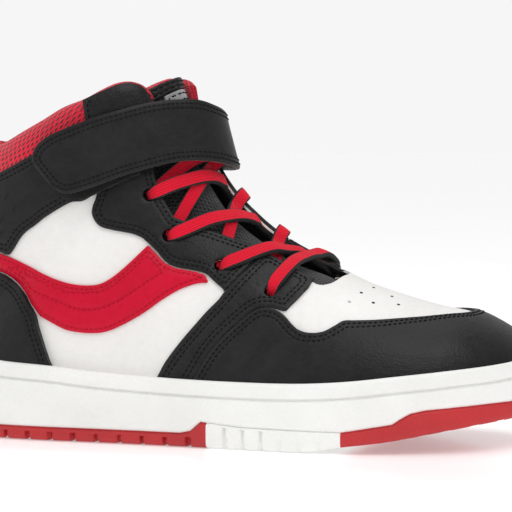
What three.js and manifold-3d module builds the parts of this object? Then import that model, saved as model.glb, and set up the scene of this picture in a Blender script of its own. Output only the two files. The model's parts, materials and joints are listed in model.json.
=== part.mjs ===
// A child's basketball high top (right shoe), with elastic laces and a hook-and-loop ankle strap.
// Millimetres. +X to the toe, +Z up, -Y is the outer (lateral) side of the foot.
// Every leather, mesh, foam and lining layer is cut from one upper surface, offset along its normal.
import * as THREE from 'three';
import { mergeVertices } from 'three/addons/utils/BufferGeometryUtils.js';
import Module from 'manifold-3d';

const wasm = await Module();
wasm.setup();

// ---------------------------------------------------------------- driving dimensions
const ORIGIN_X = -1.85, ORIGIN_Y = 0.65; // the point on the ground under the middle of the shoe's box
const GAP = 0.3; // between touching pieces
const BASE = [-1.0, 0.0]; // white leather and red mesh, offsets from the upper surface
const OVER = [0.3, 1.2]; // overlays
const STRIPE = [0.3, 1.7]; // padded side stripe
const PATCH = [1.5, 2.3]; // loop patch, backstay
const STIFF = [-2.2, -1.3]; // toe puff, heel stiffener
const LINING = [-3.3, -2.5];
const COLLAR_FOAM = 6.4, COLLAR_SKIN = 0.8; // collar padding and its inner mesh
const EYELET_D = 5.2;
const LACE_W = 5.0, LACE_T = 1.5;
const SOLE_FLOOR_Z = 0.0, HEEL_TREAD_Z = 4.5, INLAY_WALL = 3.4;
const BOARD_T = 1.2, LINER_T = 3.2;
const STRAP_T = 1.8, HOOK_T = 0.8;
const STRAP_SWING_DEG = 100, STRAP_PEEL_DEG = 90; // ranges, also in the record

// upper surface: section lines from the instep T to the feather line or heel B, half width W,
// openness c (1 = open at the feather line, 0 = closed at the heel), roundness n and k, centre offsets
const ST = [
  [101.0, 18.5, 101.0, 18.5, 0.0, 1, 2.6, 2.2, 6.0, 6.0],
  [101.8, 24.5, 98.9, 18.0, 8.5, 1, 2.6, 2.2, 6.0, 6.0],
  [100.4, 30.0, 95.2, 17.4, 15.5, 1, 2.6, 2.2, 5.8, 5.8],
  [96.8, 35.2, 89.5, 16.8, 22.0, 1, 2.6, 2.2, 5.4, 5.4],
  [90.5, 39.8, 82.0, 16.2, 28.0, 1, 2.6, 2.2, 4.6, 4.6],
  [80.5, 44.5, 73.0, 15.5, 33.0, 1, 2.5, 2.2, 3.6, 3.6],
  [68.0, 47.1, 62.0, 15.0, 36.0, 1, 2.4, 2.2, 2.4, 2.4],
  [55.0, 50.7, 49.0, 14.5, 37.8, 1, 2.3, 2.2, 1.2, 1.2],
  [43.0, 54.7, 36.0, 14.0, 38.0, 1, 2.2, 2.2, 0.4, 0.4],
  [31.0, 60.1, 22.0, 14.0, 36.8, 1, 2.2, 2.2, 0.0, 0.0],
  [19.5, 64.3, 7.0, 14.0, 34.6, 1, 2.2, 2.2, 0.0, -0.4],
  [9.0, 70.2, -9.0, 14.0, 32.4, 1, 2.3, 2.2, 0.0, -0.8],
  [0.5, 76.9, -26.0, 14.3, 30.8, 1, 2.4, 2.2, 0.0, -0.8],
  [-6.0, 83.9, -44.0, 15.0, 30.0, 1, 2.5, 2.2, 0.0, -0.6],
  [-10.6, 90.8, -62.0, 16.0, 30.0, 0.98, 2.5, 2.2, 0.0, -0.3],
  [-14.0, 97.5, -80.0, 17.0, 30.6, 0.9, 2.5, 2.2, 0.0, 0.0],
  [-16.3, 103.3, -93.0, 18.0, 31.2, 0.68, 2.5, 2.2, 0.0, 0.0],
  [-18.0, 108.2, -100.5, 19.5, 31.4, 0.38, 2.5, 2.2, 0.0, 0.0],
  [-19.6, 112.6, -105.0, 24.0, 31.5, 0.0, 2.4, 2.2, 0.0, 0.0],
  [-21.3, 117.5, -107.5, 42.0, 31.8, 0.0, 2.4, 2.2, 0.0, 0.0],
  [-23.0, 122.4, -106.0, 62.0, 32.0, 0.0, 2.3, 2.2, 0.0, 0.0],
  [-24.6, 127.3, -102.5, 82.0, 31.6, 0.0, 2.3, 2.2, 0.0, 0.0],
  [-26.0, 132.2, -100.0, 101.0, 31.4, 0.0, 2.2, 2.2, 0.0, 0.0],
  [-27.3, 137.2, -100.5, 120.0, 31.4, 0.0, 2.2, 2.2, 0.0, 0.0],
];
// how far the inner (medial) side stands up beside the throat, by station
const LIFT = [0, 0, 0, 0, 0, 0, 0, 0, 0, 0.5, 1.5, 2, 2.5, 2.5, 2.5, 3, 3.5, 4, 5, 5.5, 6, 6, 6, 6];
// throat and front collar edge as a share of the half section, by station
const THROAT_L = [[8.45, 0], [8.9, 0.29], [9.5, 0.26], [10.3, 0.232], [11.1, 0.248], [12.2, 0.31], [13, 0.355], [13.9, 0.39], [14.75, 0.363], [15.75, 0.317], [17, 0.25], [18, 0.21], [19.26, 0.179], [23, 0.165]];
const THROAT_M = [[8.45, 0], [8.9, 0.19], [10, 0.16], [15, 0.155], [16.5, 0.14], [18, 0.12], [23, 0.115]];

// ---------------------------------------------------------------- maths
const clamp = (v, a, b) => Math.min(b, Math.max(a, v));
const ss = (a, b, v) => { const t = clamp((v - a) / (b - a), 0, 1); return t * t * (3 - 2 * t); };
const lerpTable = (tab, u) => {
  if (u <= tab[0][0]) return tab[0][1];
  for (let i = 1; i < tab.length; i++) if (u <= tab[i][0]) {
    const t = (u - tab[i - 1][0]) / (tab[i][0] - tab[i - 1][0]);
    return tab[i - 1][1] + t * (tab[i][1] - tab[i - 1][1]);
  }
  return tab[tab.length - 1][1];
};
const row = (j) => {
  const n = ST.length;
  if (j < 0) return ST[0].map((v, k) => 2 * v - ST[1][k]);
  if (j > n - 1) return ST[n - 1].map((v, k) => 2 * v - ST[n - 2][k]);
  return ST[j];
};
function station(u) {
  u = clamp(u, 0, ST.length - 1 - 1e-9);
  const i = Math.floor(u), t = u - i, a = row(i - 1), b = row(i), c = row(i + 1), d = row(i + 2);
  return b.map((_, k) => 0.5 * (2 * b[k] + (-a[k] + c[k]) * t + (2 * a[k] - 5 * b[k] + 4 * c[k] - d[k]) * t * t + (-a[k] + 3 * b[k] - 3 * c[k] + d[k]) * t * t * t));
}
// a point of the upper surface: u along the stations, th 0 at the instep to 1 at the feather line, side -1 outer, +1 inner
function surf(u, th, side) {
  const q = station(u), c = clamp(q[5], 0, 1);
  const s = clamp(c * Math.cos(Math.PI * th / 2) + (1 - c) * (1 + Math.cos(Math.PI * th)) / 2, 0, 1);
  const w = q[4] * Math.sqrt(Math.max(0, 1 - s ** q[6])) * (c + (1 - c) * Math.sqrt(Math.max(0, 1 - (1 - s) ** q[7])));
  const p = [q[2] + (q[0] - q[2]) * s, q[9] + (q[8] - q[9]) * s + side * w, q[3] + (q[1] - q[3]) * s];
  if (side > 0) {
    const L = Math.hypot(q[0] - q[2], q[1] - q[3]) || 1, i = Math.floor(clamp(u, 0, 22.999)), f = clamp(u, 0, 22.999) - i;
    const a = (LIFT[i] * (1 - f) + LIFT[i + 1] * f) * ss(0, 0.1, th) * (1 - ss(0.25, 0.75, th));
    p[0] += a * (q[0] - q[2]) / L; p[2] += a * (q[1] - q[3]) / L;
  }
  return p;
}
const sub = (a, b) => [a[0] - b[0], a[1] - b[1], a[2] - b[2]];
const add = (a, b, k = 1) => [a[0] + b[0] * k, a[1] + b[1] * k, a[2] + b[2] * k];
const dot = (a, b) => a[0] * b[0] + a[1] * b[1] + a[2] * b[2];
const cross = (a, b) => [a[1] * b[2] - a[2] * b[1], a[2] * b[0] - a[0] * b[2], a[0] * b[1] - a[1] * b[0]];
const unit = (a) => { const l = Math.hypot(...a) || 1; return a.map((v) => v / l); };
function sideNormal(u, th, side) {
  const e = 0.02, u0 = clamp(u - e, 0.15, 22.95), t0 = clamp(th - e, 0.01, 0.95);
  const du = sub(surf(u0 + 2 * e, th, side), surf(u0, th, side)), dt = sub(surf(Math.max(u, 0.2), t0 + 2 * e, side), surf(Math.max(u, 0.2), t0, side));
  return unit(cross(dt, du).map((v) => v * side));
}
function normal(u, th, side) {
  if (u < 0.05) return unit([0.95, 0.12, 0.15]);
  const closed = station(u)[5] < 0.02;
  if (th < 0.001 || (th > 0.999 && closed)) {
    const t = th < 0.5 ? 0.03 : 0.97, n = unit(add(sideNormal(u, t, -1), sideNormal(u, t, 1)));
    return closed ? unit([n[0], 0, n[2]]) : n;
  }
  return sideNormal(u, th, side);
}
const at = (u, th, side, d) => add(surf(u, th, side), normal(u, th, side), d);

// ---------------------------------------------------------------- solids
function solid(pos, tri) {
  const g = new THREE.BufferGeometry();
  g.setAttribute('position', new THREE.Float32BufferAttribute(pos.flat(), 3));
  g.setIndex(tri.flat());
  return fromGeometry(g);
}
function fromGeometry(g) {
  g.deleteAttribute('normal'); g.deleteAttribute('uv');
  const m = mergeVertices(g, 1e-4), idx = m.index.array, keep = [];
  for (let i = 0; i < idx.length; i += 3) if (idx[i] !== idx[i + 1] && idx[i + 1] !== idx[i + 2] && idx[i] !== idx[i + 2]) keep.push(idx[i], idx[i + 1], idx[i + 2]);
  const p = m.attributes.position.array;
  let v = 0;
  for (let i = 0; i < keep.length; i += 3) {
    const [a, b, c] = [0, 1, 2].map((k) => [p[keep[i + k] * 3], p[keep[i + k] * 3 + 1], p[keep[i + k] * 3 + 2]]);
    v += dot(a, cross(b, c));
  }
  if (v < 0) for (let i = 0; i < keep.length; i += 3) [keep[i + 1], keep[i + 2]] = [keep[i + 2], keep[i + 1]];
  return new wasm.Manifold(new wasm.Mesh({ numProp: 3, vertProperties: new Float32Array(p), triVerts: new Uint32Array(keep) }));
}
// a grid between two offset sheets; P(i, j, outer) gives its points
function slab(nu, nt, P) {
  const pos = [], tri = [], id = (i, j, o) => (i * nt + j) * 2 + o;
  for (let i = 0; i < nu; i++) for (let j = 0; j < nt; j++) pos.push(P(i, j, 0), P(i, j, 1));
  const quad = (a, b, c, d) => tri.push([a, b, c], [a, c, d]);
  for (let i = 0; i + 1 < nu; i++) for (let j = 0; j + 1 < nt; j++) {
    quad(id(i, j, 1), id(i + 1, j, 1), id(i + 1, j + 1, 1), id(i, j + 1, 1));
    quad(id(i, j, 0), id(i, j + 1, 0), id(i + 1, j + 1, 0), id(i + 1, j, 0));
  }
  for (let i = 0; i + 1 < nu; i++) {
    quad(id(i, 0, 1), id(i, 0, 0), id(i + 1, 0, 0), id(i + 1, 0, 1));
    quad(id(i, nt - 1, 0), id(i, nt - 1, 1), id(i + 1, nt - 1, 1), id(i + 1, nt - 1, 0));
  }
  for (let j = 0; j + 1 < nt; j++) {
    quad(id(0, j, 0), id(0, j, 1), id(0, j + 1, 1), id(0, j + 1, 0));
    quad(id(nu - 1, j, 1), id(nu - 1, j, 0), id(nu - 1, j + 1, 0), id(nu - 1, j + 1, 1));
  }
  return solid(pos, tri);
}
const TG = [0, 0.14, 0.3, 0.47, 0.65, 0.83, 1];
const range = (a, b) => { const r = [a]; for (let v = Math.floor(a) + 1; v < b - 0.05; v++) if (v > a + 0.05) r.push(v); r.push(b); return r; };
const stations = (u0, u1) => { const U = range(u0, u1); for (const k of [0.45, 8.45, 8.9]) if (k > u0 && k < u1) U.push(k); return U.sort((a, b) => a - b).filter((v) => Math.abs(v - 8) > 0.01 || u0 === 8); };
const thetaAt = (u, j, side) => { const e = lerpTable(side < 0 ? THROAT_L : THROAT_M, u); return e + (1 - e) * TG[j]; };
// half of the upper between offsets d0 and d1 (numbers or functions of the surface point), open at the throat
function half(side, d0, d1, { u0 = 0, u1 = 23 } = {}) {
  const U = stations(u0, u1), f = (d, p, u, th) => (typeof d === 'function' ? d(p, u, th, side) : d);
  return slab(U.length, TG.length, (i, j, o) => {
    const u = U[i], th = thetaAt(u, j, side);
    return at(u, th, side, f(o ? d1 : d0, surf(u, th, side), u, th));
  });
}
const edgeAt = (u, side) => lerpTable(side < 0 ? THROAT_L : THROAT_M, u);
const both = (d0, d1, o) => half(-1, d0, d1, o).add(half(1, d0, d1, o));
// an (x, z) outline run along y
function sideCut(pts, y0 = -70, y1 = 70) {
  const g = new THREE.ExtrudeGeometry(new THREE.Shape(pts.map((p) => new THREE.Vector2(p[0], p[1]))), { depth: y1 - y0, bevelEnabled: false, steps: 1 });
  g.applyMatrix4(new THREE.Matrix4().set(1, 0, 0, 0, 0, 0, -1, y1, 0, 1, 0, 0, 0, 0, 0, 1));
  return fromGeometry(g);
}
// an (x, y) outline run along z
function planCut(pts, z0, z1) {
  const g = new THREE.ExtrudeGeometry(new THREE.Shape(pts.map((p) => new THREE.Vector2(p[0], p[1]))), { depth: z1 - z0, bevelEnabled: false, steps: 1 });
  g.translate(0, 0, z0);
  return fromGeometry(g);
}
const box = (x0, x1, y0, y1, z0, z1) => fromGeometry(new THREE.BoxGeometry(x1 - x0, y1 - y0, z1 - z0).translate((x0 + x1) / 2, (y0 + y1) / 2, (z0 + z1) / 2));
// the foot-shaped block inside the upper offset by d, with its bottom lowered by ext below the feather line
const extOf = (u) => 2.6 + 1.9 * ss(2, 8, u);
function last(d, more, u1 = 23) {
  const U = stations(0, u1), H = [];
  for (const side of [-1, 1]) H.push(slab(U.length, TG.length + 1, (i, j, o) => {
    const u = U[i], q = station(u), jj = Math.min(j, TG.length - 1), low = j === TG.length ? extOf(u) + more : 0;
    const p = at(u, thetaAt(u, jj, side), side, d);
    // inner points lie on the middle plane, a little past it so that the halves join
    return [p[0], o ? p[1] : q[8] * (1 - jj / (TG.length - 1)) + q[9] * (jj / (TG.length - 1)) - side * 0.4, p[2] - low];
  }));
  return H[0].add(H[1]);
}
// a plate that follows the feather line: half widths grown by d, between z offsets from it
function plate(d, zLo, zHi, uA, uB) {
  const U = range(uA, uB).flatMap((v) => (v < 3 ? [v, v + 0.5] : [v])), F = (u, s) => { const q = station(u), c = clamp(q[5], 0, 1); return [q[2], q[9] + s * Math.max(0.8, q[4] * c)]; };
  const edge = (u, s) => { const a = F(u - 0.1, s), b = F(u + 0.1, s), l = Math.hypot(b[0] - a[0], b[1] - a[1]) || 1, n = [(b[1] - a[1]) / l * -s, (b[0] - a[0]) / l * s]; const f = F(u, s), k = n[1] * s < 0 ? -1 : 1; return [f[0] + n[0] * d * k, f[1] + n[1] * d * k]; };
  return slab(U.length, 2, (i, j, o) => { const u = U[i], p = edge(u, j ? 1 : -1), z = station(u)[3]; return [p[0], p[1], z + (o ? zHi : zLo)]; });
}
// a flat strip along a centre line: points, width directions and outward directions, thickness range
function strip(frames, halfW, t0, t1) {
  const pos = [], tri = [], n = frames.length;
  for (const f of frames) for (const [a, b] of [[-1, t0], [1, t0], [1, t1], [-1, t1]]) pos.push(add(add(f.p, f.w, a * (f.h ?? halfW)), f.n, b));
  for (let i = 0; i + 1 < n; i++) for (let k = 0; k < 4; k++) {
    const a = i * 4 + k, b = i * 4 + (k + 1) % 4;
    tri.push([a, b, b + 4], [a, b + 4, a + 4]);
  }
  tri.push([0, 2, 1], [0, 3, 2], [(n - 1) * 4, (n - 1) * 4 + 1, (n - 1) * 4 + 2], [(n - 1) * 4, (n - 1) * 4 + 2, (n - 1) * 4 + 3]);
  return solid(pos, tri);
}

// ---------------------------------------------------------------- outlines, (x, z), outer side; the inner side mirrors them
const TOPLINE = [[-104, 104], [-98, 102.4], [-92, 101.4], [-87, 101.4], [-82.6, 102.5], [-74.1, 106.6], [-66.2, 110.5], [-58.9, 114.6], [-50.9, 117.6], [-45.5, 120.5], [-40.3, 123], [-36.2, 123.6], [-32.8, 122.7], [-30.3, 120.7], [-28.3, 116.7], [-27, 112], [-24, 108], [-10, 104]];
const TOPLINE_M = [[-104, 104], [-98, 102.4], [-92, 101.4], [-87, 101.6], [-80, 103.2], [-70, 107.4], [-60, 112], [-50, 116.4], [-42, 119.6], [-35, 122.2], [-29, 123.8], [-24.5, 124], [-21, 122.4], [-18.6, 119], [-16, 114], [-10, 106]];
const under = (top) => [[-125, 0], [125, 0], [125, 90], [30, 90], ...[...top].reverse(), [-125, 106]];
const COLLAR_SPLIT = [[-125, 78], [-98, 78], [-84, 81], [-70, 87], [-60, 92.5], [-50, 98], [-40, 103], [-28, 106], [-10, 107], [30, 107]];
const EYE = [[-46.1, 86], [-46.3, 83.3], [-47.3, 80], [-47.1, 77.1], [-44.6, 73.8], [-39.9, 72.4], [-34.1, 71.4], [-30.1, 70], [-27.1, 67.7], [-24.1, 65], [-20.9, 61.8], [-17.2, 60.1], [-10.2, 58.9], [-6.7, 57.9], [-3.6, 55.5], [0.2, 52.7]];
const SADDLE_L = [[-23, 20], [-21, 23.7], [-18.4, 28.4], [-13.6, 34.8], [-8.5, 40.9], [-4.5, 45.6], [-1.1, 49.2], [0.7, 51.9], [4.4, 56.7], [6.8, 59.7], [8.8, 62.4], [10.8, 64.6], [14, 69], [18, 74]];
const TOECAP = [[-10, 19.5], [-7.1, 24.5], [-2.7, 31.8], [1.7, 36.9], [6.3, 41.3], [11, 45.4], [14.3, 46.8], [17.8, 46.7], [20.9, 45.6], [23.3, 44.1], [25.8, 41.9], [28.5, 40], [32.3, 39.1], [36.7, 39.5], [40.3, 41.4], [42.8, 42.9], [46.5, 43], [52.8, 43.1], [60.5, 43.5], [68.7, 43.9], [75, 44.3], [80.4, 44.5], [83, 45.6], [88, 50]];
const STRIPE_TOP = [[-125, 66.5], [-98, 66], [-90, 65], [-82.2, 63.5], [-76.9, 61.9], [-69.1, 58.7], [-60.8, 55.6], [-53.9, 53.8], [-47.3, 53.4], [-42.6, 54.3], [-38, 57.2], [-33.5, 61.2], [-29.2, 65.5], [-27.4, 67.3]];
const STRIPE_BOT = [[-5.4, 55], [-9.8, 54.6], [-15.5, 52.5], [-21.1, 49.1], [-26.7, 45], [-32.5, 41.5], [-38.4, 38.6], [-43.2, 37.3], [-49.3, 37.2], [-55.4, 38.1], [-61.5, 40.8], [-65, 42.5]];
const COUNTER = [[-59, 18], [-60.3, 25.1], [-61.4, 27.6], [-63.3, 32.8], [-65.3, 38.4], [-66.7, 42.9], [-69, 46.3], [-71.7, 50.1], [-75.8, 53.3], [-79.1, 55.5], [-82.4, 56.8], [-90, 58.6], [-99, 59.6], [-125, 60]];
const ANKLE_LOW = [[-46.6, 85], [-50.9, 82.3], [-54.9, 81.9], [-59.9, 79.3], [-64.6, 76.4], [-67.9, 73.9], [-71.9, 71.2], [-74.4, 68.4], [-76.8, 64.9], [-78.6, 63.2], [-82.2, 64.1], [-90, 65.6], [-98, 66.6], [-125, 67.1]];
const ANKLE_TOP = [[-125, 88], [-98, 87.5], [-90, 88.8], [-82.3, 91.5], [-75.9, 94.5], [-70.7, 97.2], [-64.3, 100.6], [-57.1, 105.4], [-50.2, 110.2], [-46.6, 112.4]];
const PAD = [[-45.7, 104], [-45.7, 113.4], [-48.8, 111.6], [-50.9, 117.2], [-45.5, 119.4], [-40.3, 121.9], [-36.2, 122.5], [-33.2, 121.5], [-31.2, 119.2], [-29.4, 116], [-27.6, 112], [-20, 104]];
const PAD_M = [[-45.7, 104], [-45.7, 113.6], [-47.4, 112.9], [-48.6, 115.9], [-42, 118.6], [-35, 121], [-29, 122.6], [-24.5, 122.8], [-21.5, 121.2], [-19.4, 118], [-17, 113], [-10, 104]];
const shift = (pts, dx, dz = 0) => pts.map((p) => [p[0] + dx, p[1] + dz]);

// throat in plan: the front of the tongue's opening, cut through the vamp
const THROAT_PLAN = [[18, -13.2], [24.1, -14.6], [28.6, -16.6], [31.2, -17], [33.6, -15.9], [35.7, -12], [37, -3.7], [37.2, 0], [36.8, 4], [35, 7.5], [31, 9.4], [24, 8.8], [18, 8.4], [8, 8.4], [-10, 8.5], [-24, 9], [-24, -18], [-10, -17], [0, -14.6], [8, -13.3]];

// ---------------------------------------------------------------- eyelets and lace
const EYELETS_L = [[15.4, 0.37], [13.66, 0.455], [11.65, 0.44], [10.01, 0.45]];
const EYELETS_M = [[14.75, 0.25], [12.95, 0.26], [11.05, 0.27], [9.25, 0.31]];
function pin(u, th, side, r, h) {
  const p = surf(u, th, side), n = new THREE.Vector3(...normal(u, th, side));
  const g = new THREE.CylinderGeometry(r, r, h, 12);
  g.applyQuaternion(new THREE.Quaternion().setFromUnitVectors(new THREE.Vector3(0, 1, 0), n)).translate(...p);
  return fromGeometry(g);
}
let holes = null;
for (const [list, side] of [[EYELETS_L, -1], [EYELETS_M, 1]]) for (const [u, th] of list) {
  const h = pin(u, th, side, EYELET_D / 2, 12);
  holes = holes ? holes.add(h) : h;
}
// one run of lace between two eyelets, over the tongue; d: offsets at the first eyelet, the middle and the last eyelet
function laceRun(a, sa, b, sb, d) {
  const N = 10, list = [];
  for (let i = 0; i <= N; i++) {
    const t = i / N, f = sa * (1 - t) * a[1] + sb * t * b[1]; // signed share across the instep
    const u = a[0] + (b[0] - a[0]) * t, th = Math.abs(f), side = f < 0 ? -1 : 1, e = edgeAt(u, side);
    const end = t < 0.5 ? d[0] : d[2], k = end > 0 ? ss(e - 0.14, e - 0.02, th) : ss(e - 0.14, e - 0.05, th);
    list.push({ p: at(u, th, side, d[1] + (end - d[1]) * k), n: normal(u, Math.max(th, 0.04), side), t });
  }
  const frames = list.map((c, i) => {
    const along = unit(sub(list[Math.min(i + 1, N)].p, list[Math.max(i - 1, 0)].p)), w = unit(cross(c.n, along));
    return { p: c.p, w, n: unit(cross(along, w)), h: i === 0 || i === N ? 1.8 : LACE_W / 2 };
  });
  return strip(frames, LACE_W / 2, -LACE_T / 2, LACE_T / 2);
}
const L = EYELETS_L, M = EYELETS_M, TOP = 2.45, IN = -2.3, MID = 0.3;
let lace = null;
for (const r of [
  laceRun(L[3], -1, M[3], 1, [TOP, 1.4, TOP]),
  laceRun(L[2], -1, M[3], 1, [TOP, MID, IN]), laceRun(L[1], -1, M[2], 1, [TOP, MID, IN]), laceRun(L[0], -1, M[1], 1, [TOP, MID, IN]),
  laceRun(M[2], 1, L[3], -1, [TOP, IN, IN]), laceRun(M[1], 1, L[2], -1, [TOP, IN, IN]), laceRun(M[0], 1, L[1], -1, [TOP, IN, IN]),
  laceRun(L[0], -1, M[0], 1, [IN, IN, IN]),
]) lace = lace ? lace.add(r) : r;
// the lace passes down through each eyelet
for (const [list, side] of [[L, -1], [M, 1]]) for (const [u, th] of list) {
  const n = new THREE.Vector3(...normal(u, th, side)), p = at(u, th, side, (TOP + IN) / 2);
  const g = new THREE.BoxGeometry(2.4, TOP - IN + 0.8, 2.4);
  g.applyQuaternion(new THREE.Quaternion().setFromUnitVectors(new THREE.Vector3(0, 1, 0), n)).translate(...p);
  lace = lace.add(fromGeometry(g));
}

// ---------------------------------------------------------------- the scene graph
const shoe = new THREE.Group();
// the largest connected body of a solid, so that no cutting crumb stays
function largest(m) {
  const mesh = m.getMesh(), vp = mesh.vertProperties, tv = mesh.triVerts, nv = vp.length / mesh.numProp;
  const root = Array.from({ length: nv }, (_, i) => i), find = (a) => { while (root[a] !== a) a = root[a] = root[root[a]]; return a; };
  for (let i = 0; i < tv.length; i += 3) { root[find(tv[i])] = find(tv[i + 1]); root[find(tv[i + 1])] = find(tv[i + 2]); }
  const vol = {};
  for (let i = 0; i < tv.length; i += 3) {
    const [a, b, c] = [0, 1, 2].map((k) => [vp[tv[i + k] * 3], vp[tv[i + k] * 3 + 1], vp[tv[i + k] * 3 + 2]]);
    const r = find(tv[i]); vol[r] = (vol[r] || 0) + dot(a, cross(b, c)) / 6;
  }
  const best = +Object.keys(vol).sort((a, b) => vol[b] - vol[a])[0], pos = [];
  for (let i = 0; i < tv.length; i += 3) if (find(tv[i]) === best) for (let k = 0; k < 3; k++) pos.push(vp[tv[i + k] * 3], vp[tv[i + k] * 3 + 1], vp[tv[i + k] * 3 + 2]);
  const raw = new THREE.BufferGeometry();
  raw.setAttribute('position', new THREE.Float32BufferAttribute(pos, 3));
  return mergeVertices(raw, 2e-3);
}
function put(name, m, color, roughness, metalness = 0) {
  const once = largest(m);
  const g = largest(fromGeometry(once));
  g.translate(-ORIGIN_X, -ORIGIN_Y, 0);
  g.computeVertexNormals();
  const o = new THREE.Mesh(g, new THREE.MeshStandardMaterial({ color, roughness, metalness }));
  o.name = name;
  shoe.add(o);
  return m;
}
const BLACK = 0x242424, WHITE = 0xe8e5e0, RED = 0xcd0a2d, MESH_RED = 0xd70028, RUBBER_RED = 0xbe1e23, RUBBER_WHITE = 0xebebe6;

// sole
const PLAN = [[105.5, 0, 6.2], [104.6, 7, 6.2], [102.2, 13, 6.1], [98, 20, 5.8], [92, 26.3, 5.4], [84, 32, 4.7], [74, 37, 3.7], [62, 40.3, 2.4], [49, 42, 1.2], [36, 42.3, 0.4], [22, 41.2, 0], [7, 39, -0.4], [-9, 36.8, -0.8], [-26, 35.2, -0.8], [-44, 34.4, -0.6], [-62, 34, -0.3], [-76, 32.6, 0], [-88, 29, 0], [-97, 23.5, 0], [-104, 15.5, 0], [-107.8, 8, 0], [-109, 0, 0]];
const soleOutline = [...PLAN.map((p) => [p[0], p[2] - p[1]]), ...PLAN.slice(1, -1).reverse().map((p) => [p[0], p[2] + p[1]])];
const SOLE_TOP = [[112, 32.6], [96.7, 29.5], [79.4, 27.6], [63.8, 26], [47.6, 24.2], [30.5, 23.1], [12.4, 22.8], [-5.9, 22.9], [-24.4, 23.4], [-42.8, 24.3], [-61.3, 25.9], [-80.8, 27], [-95, 29], [-112, 31.4]];
const SOLE_LOW = [[-112, 3], [-109, 2.5], [-100, 0.8], [-92, SOLE_FLOOR_Z], [30, SOLE_FLOOR_Z], [45, 2], [60, 3.9], [76, 6.9], [90, 9.4], [101, 11.2], [112, 13.4]];
const block = planCut(soleOutline, -2, 45).intersect(sideCut([...SOLE_LOW, ...SOLE_TOP]));
const heelZone = (g) => sideCut([[-125, -5], [-2.2 + g, -5], [-2.2 + g, 8.4 + g], [-4.4, 8.6 + g], [-8, 5.4 + g], [-12, HEEL_TREAD_Z + g], [-125, HEEL_TREAD_Z + 0.3 + g]]);
const toeZone = (g) => sideCut([[45.6 - g, -5], [125, -5], [125, 17.2 + g], [104, 16.7 + g], [93, 16.1 + g], [84, 15.4 + g], [73, 14.5 + g], [68.4, 13.5 + g], [65.6, 11.9 + g], [62.5, 9.8 + g], [45.6 - g, 7 + g]]);
const envIn = last(1.8, 0, 21);
put('cupsole', block.subtract(envIn).subtract(heelZone(GAP)).subtract(toeZone(GAP).subtract(last(INLAY_WALL - GAP, 1.4, 12))), RUBBER_WHITE, 0.6);
put('outsole_heel_tread', block.intersect(heelZone(0)), RUBBER_RED, 0.6);
put('outsole_toe_tread', block.intersect(toeZone(0)).subtract(last(INLAY_WALL, 1.7, 12)), RUBBER_RED, 0.6);
put('midsole_foam', plate(0.3, -2.2, -BOARD_T - 0.9, 0.6, 17.2).add(plate(0.3, -3.8, -BOARD_T - 0.9, 6.8, 17.2)), 0xd8d4c8, 0.9);
put('insole_board', plate(0.2, -BOARD_T - 0.4, -0.4, 0.5, 17.5), 0xb09a7a, 0.9);
put('sock_liner', plate(-5.6, 0.2, 0.2 + LINER_T, 1.1, 16.7), MESH_RED, 0.9);

// base layer of the upper
const throatCut = planCut(THROAT_PLAN, 30, 130);
const vampZone = sideCut([[-2, 5], [125, 5], [125, 90], [12, 90], [11, 62], [7, 50], [2, 30]]);
const vampZoneG = sideCut([[-2 - GAP, 4], [126, 4], [126, 91], [12 - GAP, 91], [11 - GAP, 62], [7 - GAP, 50], [2 - GAP, 30]]);
const base = both(...BASE, { u1: 14 });
put('vamp', base.intersect(vampZone).subtract(throatCut).subtract(holes), WHITE, 0.45);
const belowSplit = sideCut([[-125, 0], [125, 0], [125, 60], [60, 107 - GAP], ...shift(COLLAR_SPLIT, 0, -GAP).reverse()]);
const aboveSplit = sideCut([...COLLAR_SPLIT, [30, 140], [-125, 140]]);
const sideHalf = (s) => (s < 0 ? box(-130, 130, -70, -0.2, -5, 160) : box(-130, 130, 0.2, 70, -5, 160));
for (const [n, s] of [['lateral', -1], ['medial', 1]])
  put('quarter_' + n, half(s, ...BASE, { u0: 8.9 }).intersect(belowSplit).subtract(vampZoneG).intersect(sideHalf(s)).subtract(holes), WHITE, 0.45);

// collar: outer red mesh, rolled over the top and down inside, with foam in between
const foamIn = (p, u, th, side) => -2.3 - (COLLAR_FOAM - 1) * ss(84, 100, p[2]) * ss(edgeAt(u, side) + 0.03, edgeAt(u, side) + 0.28, th);
const topCut = under(TOPLINE), topCutM = under(TOPLINE_M);
const sheetIn = (s, d0, d1, top, low) => half(s, d0, d1, { u0: 12.5 }).intersect(sideCut(top)).intersect(sideHalfT(s)).subtract(low);
const sideHalfT = (s) => (s < 0 ? box(-130, 130, -70, 0, -5, 160) : box(-130, 130, 0, 70, -5, 160));
const lowFoam = sideCut([[-125, 0], [125, 0], [125, 104], [-8, 104], [-20, 101], [-30, 95], [-42, 87], [-60, 80], [-80, 78], [-125, 78]]);
let collar = null, foam = null;
for (const [s, top] of [[-1, topCut], [1, topCutM]]) {
  const down = shift(top, 0, -1.2), down2 = shift(top, 0, -1.6);
  const outer = half(s, ...BASE, { u0: 13 }).intersect(sideCut(top)).intersect(aboveSplit);
  const inner = sheetIn(s, (...a) => foamIn(...a) - 0.3 - COLLAR_SKIN, (...a) => foamIn(...a) - 0.3, top, lowFoam);
  const cap = half(s, (...a) => foamIn(...a) - 0.3 - COLLAR_SKIN, BASE[1], { u0: 13 }).intersect(sideCut(top)).subtract(sideCut(down)).intersect(aboveSplit);
  const c = outer.add(inner).add(cap).intersect(sideHalfT(s));
  collar = collar ? collar.add(c) : c;
  const f = sheetIn(s, foamIn, -1.3, down2, lowFoam);
  foam = foam ? foam.add(f) : f;
}
put('collar_mesh', collar, MESH_RED, 0.85);
put('collar_foam', foam, 0xd9c9a0, 0.95);

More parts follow.
